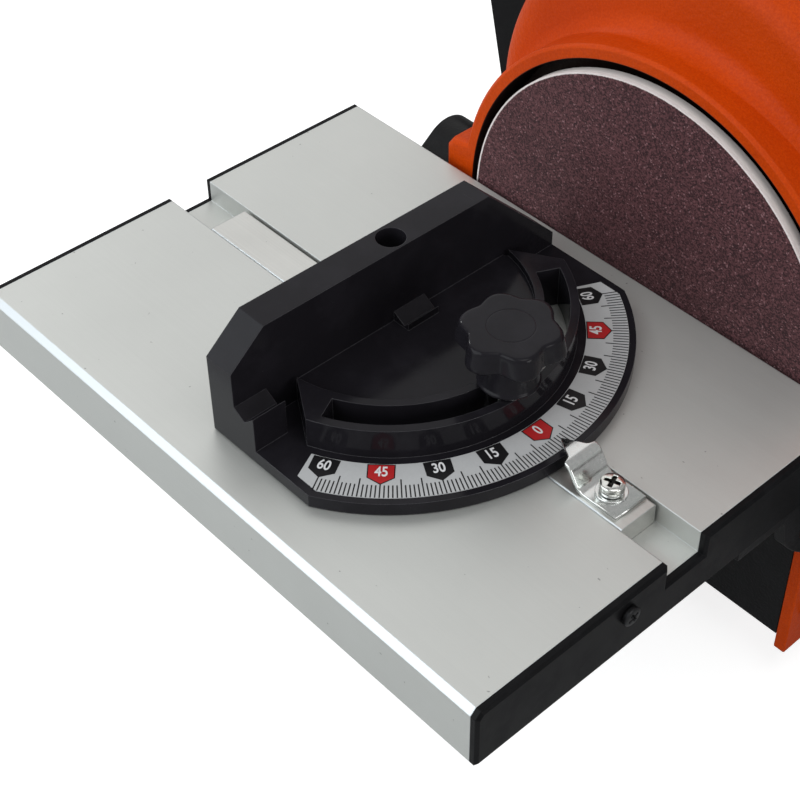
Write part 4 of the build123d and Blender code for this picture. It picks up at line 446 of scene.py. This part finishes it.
# %% Grit
def abrasive(name, paper_edge):
    """Grains as Voronoi cells; outside the radius paper_edge about the disc's axis the bare paper shows."""
    material, here = begin(name)
    soft = here.node("Bevel", {"samples": 4}, {"Radius": 0.3 * MM})
    grain = here.cell_values(2100.0)
    dust = here.noise(1100.0, 4.0, 0.7)
    patch = here.noise(28.0, 3.0, 0.6)
    tone = grain * 0.5 + dust * 0.3 + patch * 0.2
    colour = tone.above(0.25, 0.78).tint((0.028, 0.0095, 0.0115), (0.132, 0.050, 0.056))
    colour = grain.above(0.95, 0.99).tint(colour, (0.25, 0.13, 0.14))
    from_axis = here.from_line(0.0, DISC_Z * MM)
    paper = (from_axis + dust * (0.5 * MM)).above(paper_edge, paper_edge + 0.3 * MM)
    colour = paper.tint(colour, (0.80, 0.72, 0.70))
    sockets = {"Base Color": colour, "Roughness": 0.62 + dust * 0.25, "Specular IOR Level": 0.3}
    complete(here, sockets, grain + dust, 0.14 * MM, soft)
    return material


DISC_R, NO_PAPER = 75.0, 1.0
disc_grit = abrasive("disc_grit", (DISC_R - 0.5) * MM)
belt_grit = abrasive("belt_grit", NO_PAPER)
print(disc_grit.name, belt_grit.name)

# %% [markdown]
# ## Film and inks of the degree scale
#
# The scale is a printed film stuck to the mitre head: a silver grey ground, black and red inks and white figures.
# Ink lies thin on the film, so it is a little glossier than the ground and shows its weave of tiny dots only close
# up. A faint noise in tone and gloss keeps the colours from looking like flat fills.


# %% Scale film and inks
def ink(name, dark, light, gloss):
    """A thin printed colour with a weave of dots and a little wear."""
    material, here = begin(name)
    soft = here.node("Bevel", {"samples": 4}, {"Radius": 0.05 * MM})
    dots = here.noise(1800.0, 2.0, 0.5)
    wear = here.noise(140.0, 4.0, 0.65)
    colour = (dots * 0.4 + wear * 0.6).tint(dark, light)
    sockets = {"Base Color": colour, "Roughness": gloss + wear * 0.15, "Specular IOR Level": 0.2}
    complete(here, sockets, dots, 0.004 * MM, soft)
    return material


scale_film = ink("scale_film", (0.40, 0.405, 0.41), (0.50, 0.505, 0.51), 0.34)
black_ink = ink("black_ink", (0.006, 0.006, 0.007), (0.014, 0.013, 0.014), 0.30)
red_ink = ink("red_ink", (0.36, 0.012, 0.014), (0.46, 0.022, 0.024), 0.30)
white_ink = ink("white_ink", (0.62, 0.62, 0.63), (0.76, 0.76, 0.77), 0.36)
print("film and three inks")

# %% [markdown]
# ## Finishes onto the CAD nodes
#
# A CAD node keeps its shape and only gets a material. One table says which finish each node wears; anything that
# the table forgets would stop the script, so no piece is left with a plain default.

# %% Dress the CAD nodes
WEARS = {
    orange_paint: ["disc_housing"],
    black_paint: ["plinth", "bottom_plate", "drive_bracket", "lower_disc_guard", "left_table_arm",
                  "right_table_arm", "work_stop"],
    black_plastic: ["motor_cover", "dust_hood", "near_end_cap", "far_end_cap", "left_lock_knob",
                    "tracking_knob", "switch_body", "cable_gland", "cooling_fan", "tension_lever"],
    black_gloss: ["mitre_head", "mitre_knob", "switch_rocker"],
    rubber: ["rubber_feet", "drive_belt"],
    anodised: ["table_plate", "belt_frame", "idler_yoke"],
    milled: ["mitre_bar"],
    disc_metal: ["disc_plate"],
    drum_metal: ["drive_drum", "driven_pulley", "drum_bearings"],
    idler_metal: ["idler_drum", "idler_axle"],
    motor_metal: ["motor_can", "motor_rear_bell", "motor_rotor", "motor_bearings", "drive_pulley"],
    zinc: ["mitre_pointer", "mitre_washers"],
    screw_zinc: ["pointer_screw"],
    steel: ["platen", "tension_spring", "mitre_stud", "stop_screws"],
    dark_steel: ["casting_screws", "cover_screws", "motor_screws", "tilt_stop_screw", "table_pivot_screws",
                 "belt_lock_screw", "cap_screws", "arm_screws", "mitre_pivot_screw"],
    copper_iron: ["motor_stator"],
    disc_grit: ["sanding_disc"],
    belt_grit: ["sanding_belt"],
    scale_film: ["mitre_scale"],
}
for material, names in WEARS.items():
    for name in names:
        for place in nodes[name].material_slots:
            place.material = material
bare = set(nodes) - {name for names in WEARS.values() for name in names}
assert not bare, bare
print("dressed", len(nodes), "nodes in", len(WEARS), "finishes")

# %% [markdown]
# ## Surfaces from arrays
#
# Each new piece is a sheet of points worked out as whole arrays: a function of two parameters, or a profile carried
# along a path. The points form a grid, and the faces follow from the grid's rows and columns. Where a direction
# closes on itself the last column joins the first, and a flat or pointed end is closed with one polygon.


# %% Grid surfaces
def grid_faces(rows, columns, around):
    """Four corners of every cell of a grid; around joins the last column to the first."""
    r, c = np.meshgrid(np.arange(rows - 1), np.arange(columns if around else columns - 1), indexing="ij")
    next_c = (c + 1) % columns
    this_row, next_row = r * columns, (r + 1) * columns
    corners = (this_row + c, this_row + next_c, next_row + next_c, next_row + c)
    return np.stack(corners, -1).reshape(-1, 4)


def add_piece(name, points, faces, material, body, smooth=True, stands_for=()):
    """A mesh at the origin, with its place in its points, that rides on a CAD body."""
    mesh = bpy.data.meshes.new(name)
    mesh.from_pydata(np.asarray(points, float).tolist(), [], faces)
    mesh.materials.append(material)
    mesh.polygons.foreach_set("use_smooth", np.full(len(mesh.polygons), smooth))
    mesh.update()
    piece = link_new(name, mesh)
    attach(piece, body)
    if stands_for:
        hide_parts(*stands_for)
    print(name, len(mesh.vertices), "points", len(mesh.polygons), "faces")
    return piece


def add_tube(name, rings, material, body, smooth=True, stands_for=()):
    """A closed skin through rings, an array rows x columns x 3, with one polygon over each end."""
    rows, columns = rings.shape[:2]
    faces = grid_faces(rows, columns, True).tolist()
    faces.append(list(range(columns))[::-1])
    faces.append(list(range((rows - 1) * columns, rows * columns)))
    return add_piece(name, rings.reshape(-1, 3), faces, material, body, smooth, stands_for)


# %% [markdown]
# ## The lobed knob of the mitre gauge
#
# The clamp knob is a six-lobed grip, moulded in one piece with a hub. In a lathe profile the radius depends on the
# height alone; here it also swells and shrinks around the axis. So the surface is a grid of angle and profile step,
# and each profile step has two radii: one on the lobes and one in the valleys, which deepen towards the hub.

# %% Knob surface
KNOB_LOBES, KNOB_TURN = 6, math.radians(31.0)
# radius at a lobe's tip, radius in a valley, height over the table
KNOB_PROFILE = np.array([
    (0.0, 0.0, 37.30), (3.5, 3.5, 37.30), (6.80, 6.80, 37.30), (6.95, 6.95, 37.30),
    (7.02, 7.02, 37.22), (7.14, 7.14, 37.22), (7.21, 7.21, 37.30), (7.4, 7.4, 37.30),
    (10.0, 9.4, 37.30), (12.6, 11.0, 37.30), (13.6, 11.7, 37.30), (14.2, 12.2, 37.26),
    (14.75, 12.6, 37.02), (15.1, 12.8, 36.55), (15.3, 12.9, 35.9), (15.5, 12.95, 34.8),
    (15.85, 13.0, 33.2), (16.15, 13.1, 31.8), (16.35, 13.2, 30.8), (16.35, 13.2, 30.3),
    (16.1, 13.0, 29.95), (15.4, 12.4, 29.8), (10.0, 9.8, 29.8), (9.2, 9.2, 29.5),
    (8.9, 8.9, 28.6), (8.9, 8.9, 18.5), (9.1, 9.1, 18.1), (9.4, 9.4, 17.9),
    (9.5, 9.5, 17.6), (9.5, 9.5, 17.2), (9.3, 9.3, 17.0), (0.05, 0.05, 17.0),
])


def knob_rings(turns):
    """Each profile step swings between its valley radius and its tip radius six times round the axis."""
    a = np.linspace(0.0, 2 * math.pi, turns, endpoint=False)
    swing = (0.5 + 0.5 * np.cos(KNOB_LOBES * (a - KNOB_TURN))) ** 0.8
    tip, valley, height = KNOB_PROFILE.T[:, :, None]
    radius = valley + (tip - valley) * swing
    height = np.broadcast_to(TABLE_TOP + height, radius.shape)
    return np.stack((STUD[0] + radius * np.cos(a), STUD[1] + radius * np.sin(a), height), -1)[::-1] * MM


add_tube("clamp_knob", knob_rings(180), black_gloss, "mitre_knob", stands_for=["mitre_knob"])

# %% [markdown]
# ## The bent pointer
#
# A strip of plated steel is screwed to the bar, rises in an S and comes down to a point over the scale. Such a strip
# is one flat section carried along a bent line. The line is a row of corners rounded by quadratic curves, and the
# section keeps its thickness while its width shrinks towards the tip.

# %% Pointer surface
POINTER_HALF, POINTER_SHEET, BEND_SETBACK, BEND_STEPS = 6.5, 1.4, 2.5, 12
TIP_PLACES, TIP_WIDTHS = (39.9, 46.5, 47.1), (0.04, 0.62, 1.0)
# place along the bar, height over the table
POINTER_LINE = np.array([(67.5, 0.5), (53.0, 0.5), (48.7, 7.75), (39.9, 7.6)])


def rounded_line(corners, setback, steps):
    """Straight runs joined by quadratic curves that start and end setback away from each corner."""
    middle = corners[1:-1]
    into = middle - corners[:-2]
    out = corners[2:] - middle
    starts = middle - into / np.linalg.norm(into, axis=1, keepdims=True) * setback
    ends = middle + out / np.linalg.norm(out, axis=1, keepdims=True) * setback
    t = np.linspace(0.0, 1.0, steps)[None, :, None]
    bends = (1 - t) ** 2 * starts[:, None] + 2 * t * (1 - t) * middle[:, None] + t ** 2 * ends[:, None]
    return np.concatenate((corners[:1], bends.reshape(-1, 2), corners[-1:]))


def pointer_rings():
    """Along the line: the section's two halves of width and thickness, laid on the line's own normal."""
    line = rounded_line(POINTER_LINE, BEND_SETBACK, BEND_STEPS)
    way = np.gradient(line, axis=0)
    way /= np.linalg.norm(way, axis=1, keepdims=True)
    across = np.stack((-way[:, 1], way[:, 0]), -1)
    taper = np.interp(line[:, 0], TIP_PLACES, TIP_WIDTHS)
    edge = np.array([1.0, 0.99, 0.97, 0.94])
    width = np.concatenate((edge, -edge[::-1], -edge, edge[::-1]))
    rise = np.array([0.30, 0.44, 0.5, 0.5]) * POINTER_SHEET
    lift = np.concatenate((rise, rise[::-1], -rise, -rise[::-1]))
    place = line[:, None, :] - across[:, None, :] * lift[None, :, None]
    y = MITRE_Y + POINTER_HALF * taper[:, None] * width[None, :]
    return np.stack((place[..., 0], y, TABLE_TOP + place[..., 1]), -1) * MM


add_tube("bent_pointer", pointer_rings(), zinc, "mitre", stands_for=["mitre_pointer"])

# %% [markdown]
# ## Screw heads with a cross recess
#
# A pan head is a low dome with a rounded edge, and its driver recess is a cross pressed into the top. On a grid of
# angle and radius that is a height field: the dome's height, minus a depth wherever a point lies inside either arm
# of the cross. The arms taper in depth towards their ends, as the driver's tip does.


# %% Pan head screws
def pan_head(centre, right, up, out, radius, height, turn):
    """Dome over a disc, less a smooth cross; right, up and out are the head's own axes."""
    a = np.linspace(0.0, 2 * math.pi, 160, endpoint=False)
    share = np.concatenate((np.linspace(0.0, 0.92, 40), np.sin(np.linspace(1.17, math.pi / 2, 8))))
    x = radius * share[:, None] * np.cos(a)
    y = radius * share[:, None] * np.sin(a)
    dome = height * (0.72 + 0.28 * np.sqrt(np.clip(1.0 - share ** 4, 0.0, 1.0)))[:, None]
    cx = x * math.cos(turn) + y * math.sin(turn)
    cy = y * math.cos(turn) - x * math.sin(turn)
    arm_w, arm_l = 0.16 * radius, 0.62 * radius
    first_arm = np.minimum(arm_w - abs(cx), arm_l - abs(cy))
    second_arm = np.minimum(arm_w - abs(cy), arm_l - abs(cx))
    sunk = np.clip(np.maximum(first_arm, second_arm) / (0.05 * radius) + 0.5, 0.0, 1.0)
    reach = np.clip(1.0 - share[:, None] / 0.75, 0.0, 1.0)
    z = dome - height * (0.40 + 0.38 * reach) * sunk
    side = np.array([0.62, 0.30, 0.0])[:, None] * height
    z = np.vstack((z, np.broadcast_to(side, (3, a.size))))
    x, y = (np.vstack((flat, flat[-1:].repeat(3, 0))) for flat in (x, y))
    place = np.asarray(centre) + np.stack((x, y, z), -1) @ np.array((right, up, out), float)
    return place[::-1] * MM


SCREW_SEAT = 133.5
pointer_head = pan_head((*POINTER_SCREW, SCREW_SEAT), (1, 0, 0), (0, 1, 0), (0, 0, 1), 3.8, 2.6, SCREW_TURN)
add_tube("pointer_pan_screw", pointer_head, screw_zinc, "mitre", stands_for=["pointer_screw"])
# centre, way out along x, turn of the cross, CAD node that the head stands for
CAP_SCREWS = {
    "near_cap_pan_screw": ((89.1, -221.0, 123.5), 1, 0.5, ["cap_screws"]),
    "far_cap_pan_screw": ((-138.1, -221.0, 123.5), -1, 0.9, []),
}
for name, (centre, way, turn, stands_for) in CAP_SCREWS.items():
    cap_head = pan_head(centre, (0, way, 0), (0, 0, 1), (way, 0, 0), 3.1, 2.0, turn)
    add_tube(name, cap_head, dark_steel, "table", stands_for=stands_for)

# %% [markdown]
# ## Washers
#
# Under the pointer's screw sit a flat washer and a split spring washer, and another flat one sits under the knob.
# The spring washer is a square wire bent into one turn that doesn't quite close, with one end higher than the other:
# a square section carried along a short helix. A flat washer is the same section carried round a full circle.


# %% Flat and split washers
def washer_rings(centre, inner, outer, low, high, gap, rise):
    """A section with softened corners carried round the centre; gap is the open angle and rise its step."""
    a = np.linspace(gap / 2, 2 * math.pi - gap / 2, 96)
    edge = 0.12 * (high - low)
    r = np.array([inner + edge, outer - edge, outer, outer, outer - edge, inner + edge, inner, inner])
    z = np.array([low, low, low + edge, high - edge, high, high, high - edge, low + edge])
    lift = np.linspace(-rise / 2, rise / 2, a.size)[:, None] if gap else np.zeros((a.size, 1))
    x = centre[0] + r[None, :] * np.cos(a)[:, None]
    y = centre[1] + r[None, :] * np.sin(a)[:, None]
    return np.stack((x, y, np.broadcast_to(z, x.shape) + lift), -1)[:, ::-1] * MM


# centre, inner and outer radius, lowest and highest place, open angle, step at the opening
WASHERS = {
    "flat_washer": (POINTER_SCREW, 2.1, 4.8, 131.30, 132.15, 0.0, 0.0),
    "split_washer": (POINTER_SCREW, 2.1, 3.7, 132.35, 133.3, 0.2, 0.35),
    "knob_washer": (STUD, 3.1, 8.0, 145.5, 146.7, 0.0, 0.0),
}
for name, sizes in WASHERS.items():
    stands_for = ["mitre_washers"] if name == "flat_washer" else []
    add_tube(name, washer_rings(*sizes), zinc, "mitre", False, stands_for)

# %% [markdown]
# ## The tension spring
#
# A coil spring pushes the idler's yoke away from its guide. As the idler is drawn in the spring shortens, which a
# rigid coil can't do: it would cut through the yoke. So the scene winds its own coil in the CAD node's place, a ring
# of wire carried along a helix.

# %% Tension spring
SPRING_TURNS, SPRING_COIL_R, SPRING_WIRE_R, SPRING_STROKE = 5, 9.2 * MM, 0.9 * MM, 7.0 * MM
spring_low, spring_high = (np.array(corner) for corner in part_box("tension_spring"))


def spring_rings(steps, sides):
    """Rings of wire along the helix, rows x columns x 3, square to the helix at each step."""
    a = np.linspace(0.0, 2 * math.pi * SPRING_TURNS, steps)[:, None]
    middle = (spring_low + spring_high) / 2
    start, end = spring_low[0] + SPRING_WIRE_R, spring_high[0] - SPRING_WIRE_R
    flat = np.zeros_like(a)
    outward = np.stack((flat, np.cos(a), np.sin(a)), -1)
    rise = (end - start) / (2 * math.pi * SPRING_TURNS)
    along = np.stack((flat + rise, -SPRING_COIL_R * np.sin(a), SPRING_COIL_R * np.cos(a)), -1)
    across = np.cross(along / np.linalg.norm(along, axis=-1, keepdims=True), outward)
    centre = np.stack((start + rise * a, flat + middle[1], flat + middle[2]), -1) + SPRING_COIL_R * outward
    b = np.linspace(0.0, 2 * math.pi, sides, endpoint=False)[None, :, None]
    return centre + SPRING_WIRE_R * (np.cos(b) * outward + np.sin(b) * across)


rings = spring_rings(241, 12)
coil = add_tube("wound_spring", rings, steel, "belt_unit", stands_for=["tension_spring"])
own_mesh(coil)

# %% [markdown]
# ## The printed degree scale
#
# Ticks, flags and figures are ink on the film. Every tick is a thin quad along a ray from the pivot, so one array of
# angles gives them all. A flag is a five-cornered sign with its point on the tick that it names: black with white
# figures, and red at zero and at the two forty-five degree marks.

# %% Ticks and flags
PIVOT = np.array([-32.4, MITRE_Y])
FILM_TOP = TABLE_TOP + 4.9
TICK_OUT = 73.1
TICK_IN, FIFTH_TICK_IN, FLAGGED_TICK_IN, TICK_HALF = 68.3, 66.0, 67.9, 0.2
FLAG_FOOT, FLAG_SHOULDER, FLAG_POINT, FLAG_HALF, RED_INSET = 60.1, 65.4, 68.1, 4.05, 0.35
FLAG_ANGLES = np.arange(-60, 61, 15)
RED_ANGLES = np.array([-45, 0, 45])
TICK_LIFT, FLAG_LIFT, RED_LIFT, FIGURE_LIFT = 0.03, 0.04, 0.06, 0.08


def on_film(radial, sideways, degrees, lift):
    """Points at a distance along a ray from the pivot and sideways from it, lifted off the film."""
    a = np.radians(degrees)
    x = PIVOT[0] + radial * np.cos(a) - sideways * np.sin(a)
    y = PIVOT[1] + radial * np.sin(a) + sideways * np.cos(a)
    return np.stack((x, y, np.full_like(x, FILM_TOP + lift)), -1) * MM


def tick_quads(degrees, inner, half):
    """Four corners of a quad from its inner radius to the film's edge, one row for each angle."""
    outer = np.full_like(inner, TICK_OUT)
    radial = np.stack((inner, outer, outer, inner), -1)
    sideways = np.broadcast_to(np.array([-half, -half, half, half]), radial.shape)
    return on_film(radial, sideways, degrees[:, None], TICK_LIFT)


def flag_outline(degrees, inset, lift):
    """Five corners of a sign that points outward, drawn in by inset, one row for each angle."""
    foot, shoulder, point = FLAG_FOOT + inset, FLAG_SHOULDER - 0.3 * inset, FLAG_POINT - 1.2 * inset
    half = FLAG_HALF - inset
    radial = np.array([foot, shoulder, point, shoulder, foot])
    sideways = np.array([-half, -half, 0.0, half, half])
    return on_film(radial, sideways, degrees[:, None], lift)


degrees = np.arange(-60, 61)
inner = np.where(degrees % 5 == 0, FIFTH_TICK_IN, TICK_IN)
inner = np.where(degrees % 15 == 0, FLAGGED_TICK_IN, inner)
ticks = tick_quads(degrees, inner, TICK_HALF).reshape(-1, 3)
flags = flag_outline(FLAG_ANGLES, 0.0, FLAG_LIFT).reshape(-1, 3)
reds = flag_outline(RED_ANGLES, RED_INSET, RED_LIFT).reshape(-1, 3)
black_faces = np.arange(len(ticks)).reshape(-1, 4).tolist()
black_faces += (np.arange(len(flags)).reshape(-1, 5) + len(ticks)).tolist()
red_faces = np.arange(len(reds)).reshape(-1, 5).tolist()
blacks = np.vstack((ticks, flags))
add_piece("scale_black_print", blacks, black_faces, black_ink, "mitre_head", False)
add_piece("scale_red_print", reds, red_faces, red_ink, "mitre_head", False)

# %% [markdown]
# The figures are text. Text is made a mesh first, and only then turned and moved to its flag, so that the finished
# object sits unturned at the origin. Figures stand with their tops towards the pivot.


# %% Figures
def figure_mesh(number, size):
    """Points and faces of one number, centred on its own middle, flat in x and y."""
    text = bpy.data.curves.new("figure", "FONT")
    text.body = str(number)
    text.size = size
    text.align_x, text.align_y = "CENTER", "CENTER"
    text.offset = 0.02 * size
    holder = link_new("figure", text)
    mesh = bpy.data.meshes.new_from_object(holder.evaluated_get(bpy.context.evaluated_depsgraph_get()))
    flat = np.empty(len(mesh.vertices) * 3)
    mesh.vertices.foreach_get("co", flat)
    faces = [list(p.vertices) for p in mesh.polygons]
    bpy.data.objects.remove(holder)
    bpy.data.meshes.remove(mesh)
    bpy.data.curves.remove(text)
    return flat.reshape(-1, 3), faces


FIGURE_SIZE, FIGURE_RADIUS, FIGURE_STRETCH = 4.6, 62.9, (0.85, 1.15, 1.0)
figure_points, figure_faces, count = [], [], 0
for angle in FLAG_ANGLES:
    flat, faces = figure_mesh(abs(int(angle)), FIGURE_SIZE)
    flat -= (flat.min(0) + flat.max(0)) / 2
    flat *= FIGURE_STRETCH
    figure_points.append(on_film(FIGURE_RADIUS - flat[:, 1], flat[:, 0], float(angle), FIGURE_LIFT))
    figure_faces += [[i + count for i in face] for face in faces]
    count += len(flat)
figures = np.vstack(figure_points)
add_piece("scale_figures", figures, figure_faces, white_ink, "mitre_head", False)

# %% [markdown]
# ## Floor and light
#
# The machine stands on a pale floor in soft studio light. The floor gives part of its brightness to the camera by
# itself, so that it reads as white while it still takes a soft shadow. The broadest lamp stands high at the back
# left, a small one hangs over the machine, a cool one fills from the front and a weak one from the right. A very
# small one on the left gives rounded edges their sparkle. Together with a plain sky they keep the level even, so
# colours render about as they are written.


# %% Floor
def floor_finish():
    """A matt ground that also glows a little, but only to the camera."""
    material, here = begin("studio_floor")
    seen = here.node("LightPath", {}, {}, "Is Camera Ray")
    speckle = here.noise(40.0, 4.0, 0.6)
    matt = here.node("BsdfDiffuse", {}, {"Color": speckle.tint((0.50, 0.50, 0.50), (0.54, 0.54, 0.54))})
    glow = here.node("Emission", {}, {"Color": (1.0, 1.0, 1.0, 1.0), "Strength": seen * 0.75})
    both = here.node("AddShader", {}, {0: matt, 1: glow})
    here.node("OutputMaterial", {}, {"Surface": both})
    return material


FLOOR_HALF, FLOOR_Z = 6.0, -0.2 * MM
FLOOR_CORNERS = ((-1, -1), (1, -1), (1, 1), (-1, 1))
floor_mesh = bpy.data.meshes.new("floor")
floor_points = [(x * FLOOR_HALF, y * FLOOR_HALF, FLOOR_Z) for x, y in FLOOR_CORNERS]
floor_mesh.from_pydata(floor_points, [], [(0, 1, 2, 3)])
floor_mesh.materials.append(floor_finish())
floor = link_new("floor", floor_mesh)
print("floor", 2 * FLOOR_HALF, "m wide")


# %% Lamps and sky
def soft_lamp(name, place, target, size, power, colour=(1.0, 1.0, 1.0)):
    """A square lamp of this size whose back points away from the target."""
    lamp = bpy.data.lights.new(name, "AREA")
    lamp.size = size
    lamp.energy = power
    lamp.color = colour
    back = np.array(place) - np.array(target)
    back /= np.linalg.norm(back)
    side = np.cross((0.0, 1.0, 0.001), back)
    side /= np.linalg.norm(side)
    link_new(name, lamp).matrix_world = pose_matrix(side, np.cross(back, side), back, place)


TABLE_MIDDLE = (0.0, -0.2, 0.13)
soft_lamp("left_back_lamp", (-1.15, 0.45, 1.35), TABLE_MIDDLE, 1.7, 5.6)
soft_lamp("overhead_lamp", (0.45, -0.25, 1.40), TABLE_MIDDLE, 0.7, 3.6)
soft_lamp("front_lamp", (-0.45, -1.40, 0.80), TABLE_MIDDLE, 1.5, 17.0, (0.91, 0.97, 1.0))
soft_lamp("right_lamp", (1.40, -0.12, 0.55), TABLE_MIDDLE, 0.6, 5.0)
soft_lamp("sparkle_lamp", (-1.05, -0.22, 0.66), TABLE_MIDDLE, 0.14, 1.3)
world = bpy.data.worlds.new("studio")
world.use_nodes = True
sky = world.node_tree.nodes["Background"]
sky.inputs["Color"].default_value = (1.0, 1.0, 1.0, 1.0)
sky.inputs["Strength"].default_value = 0.40
bpy.context.scene.world = world
bpy.context.scene.view_settings.view_transform = "Standard"
print("five lamps and a plain sky")
